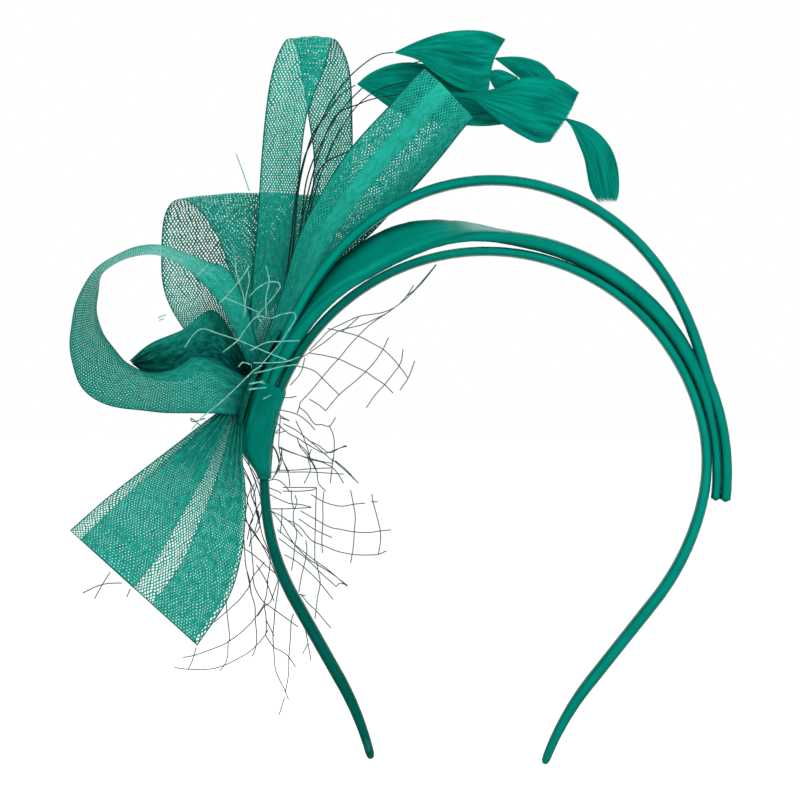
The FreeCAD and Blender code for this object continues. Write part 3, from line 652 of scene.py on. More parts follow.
def felt_pad():
    """A disc of felt bent round the crown: radius and turn on the disc become arc and depth."""
    half_t = (PAD_OUT - PAD_IN) / 2
    rho = np.array([0.02, 3, 6, 9, 12, 14.2, 16, 16.8, 17, 17, 16.8, 16, 14.2, 12, 9, 6, 3, 0.02])
    rise = np.array([1, 1, 1, 1, 1, 1, 1, 0.92, 0.5, -0.5, -0.92, -1, -1, -1, -1, -1, -1, -1]) * half_t
    turn = np.linspace(0, 2 * np.pi, 72, endpoint=False)
    along = rho[:, None] * np.cos(turn)[None]
    across = rho[:, None] * np.sin(turn)[None]
    radius = (PAD_IN + PAD_OUT) / 2 + rise[:, None] + 0 * along
    angle = np.radians(PAD_ANGLE) + along / PAD_OUT
    points = np.stack([radius * np.cos(angle), 1.0 + across, radius * np.sin(angle)], -1)
    faces = grid_faces(*points.shape[:2], round_m=True)[:, ::-1]
    made = piece("felt_disc", points.reshape(-1, 3), faces, "felt_pad", FELT)


felt_pad()


def tubes(lines, radii, sides, taper=0.0):
    """Round threads along lines of points, as one set of points and quads.

    A profile of equal turns is carried along each line, square to it; each end is drawn in.
    """
    all_points, all_faces, base = [], [], 0
    turn = np.linspace(0, 2 * np.pi, sides, endpoint=False)
    for line_points, radius in zip(lines, radii):
        along = unit(np.gradient(line_points, axis=0))
        side = unit(np.cross(along, np.array([0.13, 0.98, 0.17])))
        rise = np.cross(side, along)
        n = len(line_points)
        size = np.full(n, radius) * (1 - taper * np.linspace(0, 1, n))
        ring = np.cos(turn)[None, :, None] * side[:, None] + np.sin(turn)[None, :, None] * rise[:, None]
        body = line_points[:, None] + ring * size[:, None, None]
        cap = along[[0, -1]] * radius * 0.7
        start = (line_points[:1, None] - cap[:1, None]) + ring[:1] * radius * 0.05
        end = (line_points[-1:, None] + cap[1:, None]) + ring[-1:] * radius * 0.05
        body = np.concatenate([start, body, end])
        all_points.append(body.reshape(-1, 3))
        all_faces.append(grid_faces(n + 2, sides, round_m=True) + base)
        base += (n + 2) * sides
    return np.concatenate(all_points), np.concatenate(all_faces)


def stitches():
    """Short bars of two-ply thread laid along the pad's rim, each a pair of turning strands."""
    lines, radii = [], []
    for turn in np.radians([20.0, 160.0, 200.0, 245.0, 295.0, 340.0]):
        angle = PAD_ANGLE + math.degrees(15.0 * math.cos(turn) / PAD_OUT)
        y = 1.0 + 15.0 * math.sin(turn) + np.linspace(-1.5, 1.5, 14)
        for ply in (0.0, math.pi):
            spin = np.linspace(0, 9.0, 14) + ply
            radius = PAD_OUT + 0.3 + 0.11 * np.cos(spin)
            lines.append(polar(radius, angle + 0.09 * np.sin(spin)) + np.stack([0 * y, y, 0 * y], -1))
            radii.append(0.13)
    points, faces = tubes(lines, radii, 6)
    piece("pad_sewing", points, faces, "pad_stitches", SEWING)


stitches()


# Points read in the photograph

# A pixel's size in millimetres, and the pixel at the crown's centre, right and down.
PIXEL_MM = 0.3
CENTRE_PIXEL = (486, 473)

# Radius round the crown's centre of the ribbons' and the quills' roots on the pad, and the
# angle of the quills' roots.
RIBBON_ROOT_R = 76.35
QUILL_ROOT_R = 76.2
QUILL_ROOT_ANGLE = 150.3

# Rounds each number of an array by itself, as it would be written down.
written = np.vectorize(round, otypes=[float])


def from_picture(points):
    """Points of the frame in millimetres, from a pixel right, a pixel down and a depth each.

    A pixel's distance from the centre pixel is multiplied by its size. All is kept to 0.1 mm.
    """
    right_px, down_px, depth = np.moveaxis(np.array(points, float), -1, 0)
    x = (right_px - CENTRE_PIXEL[0]) * PIXEL_MM
    z = (CENTRE_PIXEL[1] - down_px) * PIXEL_MM
    return written(np.stack([x, depth, z], -1), 1)


def on_pad(radius, places):
    """Points on the pad, from an angle round the crown and a depth each, kept to 0.1 mm."""
    angle, depth = np.array(places, float).T
    return written(polar(radius, angle, depth), 1)


def ribbon(rows, start=None, end=None):
    """Rows of a ribbon's two edges, with its sewn ends on the pad before and after them."""
    made = [from_picture(rows)]
    if start:
        made.insert(0, on_pad(RIBBON_ROOT_R, start)[None])
    if end:
        made.append(on_pad(RIBBON_ROOT_R, end)[None])
    return np.concatenate(made)


# Crin ribbons

# Stands for an edge that is too far away to matter, in millimetres.
FAR_EDGE = 9.0


def crin(name, node, rows, weave, bow, gather, seed, held="gathered", pleat_of=None):
    """A crin ribbon: its two edges are smooth curves, and the cloth is ruled between them.

    weave lists, from 0 at the first edge to 1 at the other, how much of the cloth is thread and
    its tone. The cloth bows out as a sine across, pleats and closes up where its edges draw
    together, closes up over the gather length at a sewn end, and ripples slowly along its length.
    Where it closes up its tone is darkened as painted shade.
    pleat_of gives the share across a wider ribbon where a pleat starts and ends, and its width.
    """
    edges = smooth(rows, 9)
    first, second = edges[:, 0], edges[:, 1]
    across = second - first
    width = np.linalg.norm(across, axis=-1)[:, None]
    along = unit(np.gradient((first + second) / 2, axis=0))
    up = unit(np.cross(across, along))
    where = np.linspace(0, 1, 57)[None]
    walked = length_along(edges.mean(axis=1))[:, None]
    rng = np.random.default_rng(seed)
    a, b, c = rng.uniform(0, 6.28, 3)
    drawn = np.clip(1 - width / width.max(), 0, 1)
    lift = bow * np.sin(np.pi * where) * np.clip(width / 20, 0, 1)
    lift = lift + 0.8 * drawn * np.sin(2 * np.pi * 3.5 * where + a)
    lift = lift + 0.22 * np.sin(walked * 0.21 + 3.1 * where + b)
    lift = lift + 0.10 * np.sin(walked * 0.57 - 7.0 * where + c)
    points = first[:, None] + across[:, None] * where[..., None] + up[:, None] * lift[..., None]
    to_end = walked[-1] - walked
    closed = np.exp(-(walked if held == "hung" else np.minimum(walked, to_end)) / gather)
    closed = np.maximum(drawn ** 1.3, closed)
    weave = np.array(weave, float)
    thread = np.interp(where, weave[:, 0], weave[:, 1])
    # Painted shade: the tone is darkened by up to 0.32 where the cloth closes up.
    tone = np.interp(where, weave[:, 0], weave[:, 2]) - 0.32 * closed
    low, high, cloth_width = pleat_of or (0.0, 1.0, width.max())
    flat_mm = (low + where * (high - low)) * cloth_width
    near = np.minimum(where, 1 - where) * width + (FAR_EDGE if pleat_of else 0.0)
    maps = {"cloth": np.stack([flat_mm + 0 * walked, walked + 0 * where], -1),
            "edge": np.stack([near, (to_end if held == "hung" else FAR_EDGE) + 0 * near], -1)}
    maps = {title: one * MM for title, one in maps.items()}
    maps["cover"] = np.stack([thread + (1 - thread) * closed, tone], -1)
    made = piece(name, points.reshape(-1, 3), grid_faces(*points.shape[:2]), node, CRIN,
                 {title: one.reshape(-1, 2) for title, one in maps.items()})
    return made


TALL_LOOP = [
    ((250, 300, 16.8), (287, 298, 16.8)),
    ((256, 230, 17.3), (295, 233, 17.3)),
    ((260, 165, 17.6), (300, 165, 17.6)),
    ((264, 118, 17.6), (307, 112, 17.6)),
    ((270, 76, 17.6), (321, 76, 17.6)),
    ((279, 48, 18), (329, 50, 18)),
    ((288, 36, 21.2), (333, 36, 21.2)),
    ((297, 48, 25), (343, 48, 25)),
    ((301, 75, 26.3), (350, 72, 26.3)),
    ((308, 118, 26.3), (352, 112, 26.3)),
    ((313, 165, 25.3), (351, 165, 25.3)),
    ((305, 230, 23.3), (338, 226, 23.3)),
    ((284, 298, 20.3), (308, 292, 20.3)),
]
TALL_LOOP_WEAVE = [
    (0, 0.75, 0.25), (0.07, 0.54, 0.45), (0.3, 0.5, 0.5), (0.5, 0.56, 0.45), (0.93, 0.52, 0.5),
    (1, 0.75, 0.25),
]

crin("tall_loop", "crin_tall_loop", ribbon(TALL_LOOP, start=((157, 9.2), (152.5, 9.8)),
                                    end=((157.5, 11.6), (152.5, 12.6))),
     TALL_LOOP_WEAVE, 0.6, 24.0, 11)

RIGHT_LOOP = [
    ((248, 384, 5.4), (286, 370, 5.6)),
    ((282, 290, 7), (330, 288, 7)),
    ((297, 240, 7), (345, 258, 7)),
    ((319, 196, 7), (373, 232, 7)),
    ((351, 147, 7), (410, 192, 7)),
    ((388, 106, 7), (440, 158, 7)),
    ((411, 80, 7), (463, 129, 7)),
    ((424, 68, 8.7), (474, 117, 8.7)),
    ((411, 80, 10.5), (463, 129, 10.5)),
    ((388, 106, 10.5), (440, 158, 10.5)),
    ((351, 147, 10.5), (410, 192, 10.5)),
    ((319, 196, 10.5), (371, 230, 10.5)),
    ((297, 240, 10.2), (340, 252, 10.2)),
    ((284, 290, 10), (328, 286, 10)),
    ((250, 384, 8), (285, 370, 7)),
]
RIGHT_LOOP_WEAVE = [
    (0, 0.6, 0.4), (0.05, 0.46, 0.5), (0.27, 0.46, 0.5), (0.33, 0.97, 0.62), (0.5, 0.94, 0.55),
    (0.55, 0.44, 0.5), (0.7, 0.48, 0.5), (0.8, 0.66, 0.4), (1, 0.74, 0.3),
]

crin("right_loop", "crin_right_loop", ribbon(RIGHT_LOOP),
     RIGHT_LOOP_WEAVE, 0.6, 16.0, 12)

BACK_LOOP = [
    ((240, 318, 14), (252, 308, 20)),
    ((228, 268, 17), (300, 270, 25)),
    ((214, 231, 20), (318, 232, 26.5)),
    ((194, 205, 23), (321, 207, 27.5)),
    ((176, 197, 27), (322, 194, 30)),
    ((163, 212, 31), (322, 207, 33)),
    ((159, 245, 32.5), (322, 235, 34)),
    ((162, 290, 30), (306, 278, 32)),
    ((184, 332, 24), (258, 322, 27)),
]
BACK_LOOP_WEAVE = [
    (0, 0.6, 0.3), (0.05, 0.43, 0.4), (0.9, 0.48, 0.45), (1, 0.6, 0.3),
]

crin("back_loop", "crin_back_loop", ribbon(BACK_LOOP, start=((162, 8), (158.8, 12.5)),
                                    end=((165, 11.5), (161.5, 15.5))),
     BACK_LOOP_WEAVE, 1.2, 14.0, 13)

RING = [
    ((232, 275, -3), (222, 307, -13)),
    ((205, 261, 0), (198, 279, -15)),
    ((179, 251, 2), (179, 263, -15)),
    ((150, 244, 3), (151, 255, -15)),
    ((122, 251, 3), (121, 263, -15)),
    ((98, 267, 2), (104, 274, -16)),
    ((82, 290, 0), (99, 292, -16)),
    ((72, 320, -2), (99, 315, -17)),
    ((70, 350, -4), (106, 334, -18)),
    ((80, 383, -7), (119, 353, -20)),
    ((103, 403, -10), (133, 366, -22)),
    ((143, 411, -12), (155, 373, -23)),
    ((176, 413, -13), (180, 367, -22)),
    ((207, 413, -13), (203, 357, -20)),
    ((240, 415, -9), (252, 380, -12.5)),
]
RING_WEAVE = [
    (0, 0.85, 0.4), (0.15, 0.74, 0.46), (0.8, 0.74, 0.46), (1, 0.9, 0.3),
]

crin("ring", "crin_ring", ribbon(RING, start=((152, -6), (155.5, -11))),
     RING_WEAVE, 0.6, 14.0, 14)

RUFFLE = [
    ((132, 361, -16), (134, 365, -15.5)),
    ((153, 343, -13), (152, 379, -12)),
    ((183, 330, -10), (178, 381, -10)),
    ((217, 312, -8.5), (212, 372, -8.5)),
]
# The thread column is the dense cloth; the very dark tones are painted shade inside the ruffle's pocket.
RUFFLE_WEAVE = [
    (0, 0.97, 0.35), (0.1, 1, 0.25), (0.45, 1, 0.12), (0.75, 1, 0.05), (0.84, 0.95, 0.5), (1, 0.9, 0.6),
]

crin("ruffle", "crin_ruffle", ribbon(RUFFLE, end=((156.5, -6), (160.5, -5.5))),
     RUFFLE_WEAVE, 0.6, 8.0, 15)

TAIL = [
    ((231, 402, -8.5), (244, 398, -5)),
    ((202, 424, -11), (243, 450, -8.5)),
    ((170, 449, -12), (246, 488, -8.5)),
    ((140, 472, -12), (246, 520, -9)),
    ((112, 494, -12), (242, 556, -10)),
    ((90, 513, -12), (229, 598, -10)),
    ((71, 530, -12), (198, 645, -10)),
]
TAIL_WEAVE = [
    (0, 0.5, 0.4), (0.04, 0.42, 0.5), (0.085, 0.42, 0.5), (0.1, 0.12, 0.4), (0.48, 0.12, 0.4),
    (0.5, 0.42, 0.5), (0.64, 0.42, 0.5), (0.66, 0.12, 0.4), (0.95, 0.12, 0.4), (0.97, 0.5, 0.45),
    (1, 0.5, 0.45),
]

crin("tail_back", "crin_tail_back", ribbon(TAIL),
     TAIL_WEAVE, 0.6, 12.0, 16, held="hung")


# The pleats lie this far in front of the tail's back layer, whose flat width they share.
PLEAT_GAP = 1.3
TAIL_WIDTH = 51.0
PLEAT_WEAVE = [(0, 0.72, 0.44), (1, 0.72, 0.44)]

pleat_edges = ribbon(TAIL) - [0, PLEAT_GAP, 0]
tail_across = pleat_edges[:, 1] - pleat_edges[:, 0]
for title, low, high, width, seed in (("tail_pleat_left", 0.08, 0.5, 0.0215, 17),
                                      ("tail_pleat_right", 0.64, 0.97, 0.017, 18)):
    pleat = np.stack([pleat_edges[:, 0] + tail_across * low, pleat_edges[:, 0] + tail_across * high], 1)
    crin(title, "crin_tail_pleats", pleat, PLEAT_WEAVE, 0.6, 16.0,
         seed, held="hung", pleat_of=(low, high, TAIL_WIDTH))


# Feathers

def vane(name, rows, fray, seed):
    """A cut vane: rows of three points from its upper edge to its lower, smooth both ways.

    It cups as a sine across and its barbs wave a little. The fringe at its tip is as long as
    fray says at the upper and lower edge.
    """
    grid = smooth(from_picture(rows), 9)
    grid = np.swapaxes(smooth(np.swapaxes(grid, 0, 1), 12), 0, 1)
    n, m = grid.shape[:2]
    s, t = np.meshgrid(np.linspace(0, 1, n), np.linspace(0, 1, m), indexing="ij")
    rng = np.random.default_rng(seed)
    a, b = rng.uniform(0, 6.28, 2)
    lift = 0.5 * np.sin(np.pi * t) * s + 0.16 * np.sin(9 * t + 4 * s + a) * s + 0.05 * np.sin(40 * t + b) * s
    grid = grid + lift[..., None] * np.array([0, -1.0, 0])
    left_over = length_along(grid)[-1][None] - length_along(grid)
    reach = fray[0] + (fray[1] - fray[0]) * t
    maps = {"vane": np.stack([s + 0.1 * seed, t + 0.3 * seed], -1).reshape(-1, 2),
            "tip": np.stack([left_over, reach], -1).reshape(-1, 2) * MM}
    return piece(name + "_vane", grid.reshape(-1, 3), grid_faces(n, m), name, FEATHER, maps)


def quill(name, root_depth, points, radius):
    """A quill: a thin round rod that narrows from its root on the pad to its vane."""
    root = on_pad(QUILL_ROOT_R, [(QUILL_ROOT_ANGLE, root_depth)])
    line_points = np.concatenate([root, from_picture(points)])
    body, faces = tubes([smooth(line_points, 8)], [radius], 8, taper=0.45)
    return piece(name + "_quill", body, faces, name, QUILL)


vane("feather_top", [
    ((395, 50.4, 13.2), (395, 51.2, 13.2), (395.5, 52, 13.2)),
    ((416, 40.5, 13.2), (417, 50, 13.2), (418, 59, 13.2)),
    ((440, 32, 13.2), (439.5, 53, 13.1), (438, 74, 13)),
    ((465, 28.5, 13.2), (462, 58, 13.1), (458, 86, 13)),
    ((488, 30.5, 13.2), (484, 62, 13.1), (478, 92, 13)),
    ((507, 38, 13.5), (495, 60, 13.3), (490, 89, 13.2)),
], (0.6, 0.6), 1)

quill("feather_top", 10.8, [
    (283, 318, 12.8), (291, 260, 12.8), (298, 190, 12.8), (309, 142, 12.8), (320, 121, 12.8),
    (333, 97, 12.8), (349, 76, 12.9), (366, 61, 13), (380, 53, 13.1), (393.3, 51, 13.2),
], 0.3)

vane("feather_left", [
    ((357, 82, 15.4), (357.2, 83, 15.4), (357.5, 83.8, 15.4)),
    ((371, 71, 15.5), (372.5, 83, 15.5), (374, 95, 15.5)),
    ((392, 62.5, 15.6), (391.5, 85, 15.6), (391, 107, 15.6)),
    ((415, 61, 15.6), (413, 88, 15.6), (412, 116, 15.6)),
    ((440, 68, 15.6), (440, 96, 15.6), (444, 122, 15.6)),
    ((470, 86, 15.6), (473, 106, 15.6), (481, 125, 15.6)),
    ((500, 100, 15.6), (503, 112, 15.6), (505, 123, 15.6)),
], (0.6, 0.6), 2)

quill("feather_left", 12.8, [
    (281, 316, 14.6), (288, 262, 14.6), (295, 200, 14.6), (303, 160, 14.6), (310, 143, 14.6),
    (319, 124, 14.6), (330, 107, 14.8), (341, 93, 15.1), (355, 83.5, 15.4),
], 0.3)

vane("feather_back", [
    ((496, 55.6, 17.3), (496, 57, 17.3), (497, 58.4, 17.3)),
    ((512, 54.5, 17.3), (511, 61, 17.3), (509, 67.5, 17.3)),
    ((527, 56, 17.3), (524, 66, 17.3), (521, 77, 17.3)),
    ((543, 62, 17.3), (538, 73, 17.3), (533, 84, 17.3)),
    ((557, 76, 17.3), (553, 82, 17.3), (549, 88, 17.3)),
], (0.6, 0.6), 3)

quill("feather_back", 13.8, [
    (286, 315, 15.5), (299, 240, 15.5), (306, 180, 15.6), (322, 140, 15.8), (345, 104, 16.3),
    (380, 74, 16.9), (430, 58, 17.3), (496.6, 57, 17.3),
], 0.28)

vane("feather_small", [
    ((487, 73, 14.5), (488, 74, 14.5), (488.5, 75.5, 14.5)),
    ((492, 69, 14.5), (494, 78, 14.5), (496, 87.5, 14.5)),
    ((503, 68.5, 14.5), (505, 77, 14.5), (508, 85, 14.5)),
    ((519, 76, 14.5), (520, 78, 14.5), (520.5, 80, 14.5)),
], (0.6, 0.6), 4)

quill("feather_small", 9.8, [
    (287, 313, 11.8), (305, 232, 11.9), (321, 172, 11.9), (343, 124, 12.4), (372, 92, 14.2),
    (420, 78, 14.4), (485.8, 74, 14.5),
], 0.25)

vane("feather_centre", [
    ((440, 91.5, 11.8), (440, 92.5, 11.8), (440, 93.5, 11.8)),
    ((474, 91, 11.8), (474, 94, 11.8), (472, 98, 11.8)),
    ((497, 86.5, 11.8), (493, 97, 11.8), (487, 110, 11.8)),
    ((522, 77, 11.8), (514, 100, 11.8), (504, 124, 11.8)),
    ((545, 75.5, 11.8), (534, 106, 11.8), (522, 135, 11.8)),
    ((563, 79.5, 11.8), (550, 109, 11.8), (538, 142, 11.8)),
    ((581, 92, 11.8), (571, 117, 11.8), (556, 140, 11.8)),
], (0.8, 3.2), 5)

quill("feather_centre", 8.8, [
    (284, 312, 10.9), (300, 228, 11), (315, 165, 11), (334, 117, 11), (359, 103, 11.1), (377, 97, 11.3),
    (405, 93, 11.5), (437.8, 92.5, 11.8),
], 0.28)

vane("feather_drooping", [
    ((564, 116.5, 14), (564.5, 117.2, 14), (565, 118, 14)),
    ((574, 118.5, 14), (573, 122, 14), (572, 126, 14)),
    ((588, 123.5, 14), (584, 133, 14), (579, 142, 14)),
    ((602, 134, 14), (594, 147, 14), (585, 158, 14)),
    ((613, 149, 14), (601, 161, 14), (588, 174, 14)),
    ((619, 168, 14), (605, 178, 14), (591, 188, 14)),
    ((620, 190, 14), (609, 195, 14), (598, 200, 14)),
    ((616, 205, 14), (611, 208, 14), (606, 210, 14)),
], (3.0, 7.0), 6)

quill("feather_drooping", 11.8, [
    (288, 308, 13.7), (304, 226, 13.7), (319, 169, 13.7), (349, 150, 13.7), (395, 128, 13.7),
    (450, 116, 13.7), (510, 111, 13.8), (562.8, 117, 14),
], 0.28)


# The veil

# Enlarged views of the photograph: the left and top pixel, and how many times enlarged.
VIEWS = {
    "whole": (0, 0, 1),
    "knot": (230, 240, 6.53),
    "left leg": (240, 440, 5.6),
    "lower tips": (150, 560, 9.22),
    "ring": (60, 190, 6.53),
    "tail": (60, 400, 6.03),
}

# Where a leaning net stands at its own depth, to the left of the crown's centre.
LEAN_FROM = 62


def threads_in(view, threads):
    """Threads read in a view, each as places right and down in it, in millimetres.

    A place is divided by the enlargement and counted from the view's own corner.
    """
    left_px, top_px, times = VIEWS[view]
    made = []
    for thread in threads:
        places = np.array(thread, float).reshape(-1, 2)
        pixels = np.stack([left_px + places[:, 0] / times, top_px + places[:, 1] / times,
                           0 * places[:, 0]], -1)
        made.append(from_picture(pixels)[:, [0, 2]])
    return made


def net(name, node, threads, depth, lean, wave, radius, seed, finish):
    """Veil threads: each a smooth curve through its points, waving a little in depth.

    A net's depth grows by its lean with the distance to the right of where it leans from.
    """
    rng = np.random.default_rng(seed)
    lines = []
    for thread in threads:
        flat_line = smooth(thread, 5)
        walked = length_along(flat_line)
        a, k = rng.uniform(0, 6.28), rng.uniform(0.10, 0.25)
        y = depth + (flat_line[:, 0] + LEAN_FROM) * lean + wave * np.sin(a + k * walked)
        lines.append(np.stack([flat_line[:, 0], y, flat_line[:, 1]], -1))
    points, faces = tubes(lines, [radius] * len(lines), 5)
    return piece(name, points, faces, node, finish)


net("veil_upper_net", "veil_upper", threads_in("knot", [
    (1345, 165, 1290, 235, 1245, 290, 1185, 350, 1130, 400, 1070, 445, 1020, 480, 960, 520, 900, 565,
     840, 625, 780, 690, 715, 770, 660, 830, 600, 900, 530, 985, 460, 1060),
    (1345, 160, 1280, 240, 1210, 320, 1150, 370),
    (1200, 295, 1150, 370, 1090, 430, 1010, 470, 930, 485, 840, 500, 750, 540, 650, 590, 590, 650,
     520, 720),
    (1020, 480, 940, 520, 860, 555, 760, 580, 700, 600, 620, 665, 550, 715, 480, 760, 400, 790, 300, 810,
     200, 825, 140, 815),
    (840, 505, 790, 550, 730, 600),
    (640, 580, 740, 600, 840, 630, 920, 670, 1000, 715, 1060, 770, 1105, 825, 1160, 900),
    (1035, 640, 1000, 715, 950, 790, 885, 860, 810, 930, 715, 1010, 625, 1115),
    (525, 740, 620, 755, 715, 780, 800, 820, 885, 860, 940, 900, 1010, 945, 1065, 1000),
    (1130, 715, 1120, 780, 1100, 830, 1055, 885, 1010, 945, 950, 1010, 890, 1095),
    (1205, 790, 1165, 900, 1110, 980),
    (440, 825, 500, 835, 560, 860, 600, 900, 650, 950, 715, 1010),
    (395, 950, 440, 900, 470, 850, 490, 770),
    (520, 1040, 580, 1075, 625, 1115),
    (340, 1030, 390, 1030, 435, 1020),
    (460, 1060, 450, 1100, 440, 1130),
]), -5.2, 0, 0.5, 0.16, 21, VEIL)

net("veil_lower_right_net", "veil_lower_right", threads_in("knot", [
    (330, 1110, 400, 1125, 460, 1150, 520, 1200, 555, 1240),
    (450, 1090, 500, 1130, 550, 1200, 600, 1205, 650, 1215, 690, 1160),
    (650, 1215, 680, 1290, 680, 1400, 665, 1480),
    (330, 1150, 325, 1250, 320, 1350, 335, 1450, 300, 1530),
    (300, 1190, 380, 1260, 440, 1290, 500, 1330, 560, 1365, 620, 1390, 690, 1370, 760, 1340),
    (350, 1200, 430, 1240, 520, 1310, 600, 1380, 670, 1440),
    (320, 1350, 400, 1385, 480, 1415, 530, 1435),
    (430, 1180, 470, 1260, 500, 1340, 530, 1435, 560, 1500),
    (440, 1290, 460, 1350, 500, 1400, 530, 1450),
    (530, 1435, 600, 1450, 665, 1480),
    (265, 1330, 300, 1380, 320, 1450, 325, 1500),
    (340, 1350, 345, 1430, 385, 1510),
    (690, 1440, 760, 1500, 820, 1568),
    (300, 1120, 350, 1160, 390, 1180, 330, 1160),
    (280, 1180, 330, 1220, 300, 1260, 360, 1250),
]) + threads_in("left leg", [
    (165, 10, 200, 50, 220, 110, 210, 170, 180, 220),
    (235, 50, 225, 110, 205, 170, 190, 210),
    (235, 100, 255, 150, 275, 200, 280, 260),
    (100, 190, 180, 180, 280, 180, 400, 180, 580, 190),
    (210, 170, 300, 168, 400, 160, 520, 155),
    (220, 45, 300, 75, 390, 100, 460, 120, 520, 130),
    (330, 20, 370, 60, 400, 110, 430, 170, 440, 240, 480, 285),
    (400, 50, 385, 110, 395, 165, 360, 240),
    (380, 0, 440, 30, 500, 70, 560, 45, 600, 35),
    (520, 100, 515, 160, 505, 240),
    (520, 110, 600, 180, 665, 240),
    (520, 155, 550, 190, 580, 240),
    (240, 265, 330, 265, 430, 265),
    (240, 285, 330, 285, 400, 280, 430, 268),
    (150, 230, 200, 220, 240, 240, 280, 290),
    (160, 265, 220, 290, 230, 300),
    (290, 280, 290, 330, 300, 380),
    (310, 310, 320, 350, 300, 400),
    (160, 300, 220, 330, 280, 355, 340, 360, 400, 375),
    (180, 385, 250, 385, 330, 380, 400, 378),
    (430, 270, 425, 350, 423, 450, 420, 560, 420, 680),
    (470, 290, 465, 350, 465, 450, 460, 560, 462, 630),
    (400, 305, 470, 345, 560, 370, 640, 358, 700, 352),
    (620, 280, 635, 355, 645, 430, 640, 510, 635, 600, 620, 685),
    (740, 300, 745, 345, 765, 420, 785, 510, 785, 570, 775, 640),
    (735, 345, 770, 345),
    (340, 395, 420, 440, 500, 485, 570, 500, 640, 513, 720, 518, 785, 508, 845, 502),
    (330, 440, 420, 500, 515, 545),
    (250, 440, 330, 480, 400, 560, 470, 590, 540, 620, 640, 640, 720, 643, 775, 638, 820, 620),
    (160, 390, 240, 430, 300, 480, 350, 540),
    (180, 400, 230, 460, 270, 530, 320, 600, 380, 660, 440, 700, 520, 750, 600, 810),
    (210, 500, 280, 560, 350, 620, 430, 680, 500, 730, 600, 815),
    (220, 550, 300, 610, 380, 670, 450, 740, 540, 820),
    (250, 640, 320, 680, 390, 740, 450, 800, 520, 890),
    (540, 820, 560, 800, 605, 812),
    (235, 380, 235, 440, 225, 520),
    (300, 400, 300, 460, 320, 520, 310, 580, 300, 660, 290, 730),
    (370, 560, 375, 620, 360, 700, 345, 760, 330, 850),
    (430, 680, 440, 740, 450, 800, 435, 880, 425, 960, 420, 1000),
    (340, 860, 390, 920, 430, 955, 510, 1050),
    (335, 865, 365, 870),
]), -6.0, 0, 0.8, 0.16, 22, VEIL)

net("veil_lower_left_net", "veil_lower_left", threads_in("lower tips", [
    (905, 260, 830, 360, 720, 465, 590, 575),
    (700, 370, 705, 470, 720, 600, 730, 720, 715, 780, 712, 880, 690, 960, 640, 1030),
    (300, 905, 420, 880, 560, 830, 680, 780, 740, 745, 850, 660, 950, 560, 1020, 460, 1050, 410),
    (420, 810, 400, 890, 365, 980, 345, 1015),
    (220, 995, 345, 1012, 540, 1010, 660, 985, 760, 940, 900, 860, 990, 780, 1060, 695, 1085, 650),
    (890, 110, 910, 200, 930, 310, 965, 430, 968, 560, 980, 680, 975, 800, 940, 890),
    (945, 150, 960, 240, 1000, 330, 1050, 400),
    (1050, 20, 1000, 90, 945, 160, 905, 260),
    (980, 50, 1060, 180, 1100, 280, 1140, 380),
    (1085, 200, 1070, 330, 1050, 410, 1065, 520, 1070, 650, 1065, 700, 1110, 770, 1140, 810),
    (1190, 170, 1175, 300, 1150, 470, 1140, 600, 1130, 700, 1140, 850, 1160, 1030, 1240, 1200),
    (1180, 180, 1130, 330, 1100, 400, 1050, 430, 990, 520),
    (1050, 400, 1100, 430, 1200, 500, 1290, 570, 1360, 620),
    (1320, 500, 1300, 570, 1295, 700, 1280, 900, 1275, 1050, 1255, 1180, 1245, 1225),
    (1070, 560, 1110, 640, 1140, 700),
    (1140, 810, 1220, 850, 1280, 900, 1340, 990),
    (1240, 1200, 1250, 1230, 1262, 1260, 1275, 1290),
    (1240, 1270, 1215, 1350, 1190, 1430),
    (1430, 640, 1450, 750, 1480, 930),
    (1450, 780, 1405, 870),
]) + threads_in("left leg", [
    (20, 440, 80, 520, 150, 640, 215, 790),
    (10, 600, 80, 650, 150, 710, 220, 770),
    (50, 490, 100, 560, 160, 640, 165, 720, 150, 800),
    (60, 560, 65, 640, 70, 700, 75, 760),
    (20, 560, 30, 700, 50, 780, 60, 860),
    (100, 400, 120, 520, 165, 640, 215, 780),
    (0, 70, 40, 130, 80, 190, 110, 260, 130, 330, 160, 400),
    (5, 130, 50, 220, 80, 300, 90, 380, 110, 480),
    (35, 100, 70, 200, 100, 280, 120, 380, 100, 470),
    (20, 180, 60, 260, 40, 340, 70, 430, 50, 490),
    (60, 170, 90, 250, 70, 330, 100, 420, 80, 520),
    (10, 250, 40, 330, 30, 430, 60, 520, 50, 600),
    (90, 230, 60, 300, 90, 380, 60, 460, 40, 560),
    (130, 320, 90, 400, 110, 480, 60, 560),
]) + threads_in("tail", [
    (300, 1040, 250, 1120, 205, 1200),
    (135, 1165, 210, 1130, 280, 1110, 370, 1105),
    (420, 1140, 410, 1165, 400, 1190),
    (875, 110, 800, 130, 790, 110, 840, 150),
]), 6.2, 0, 0.5, 0.16, 23, VEIL)

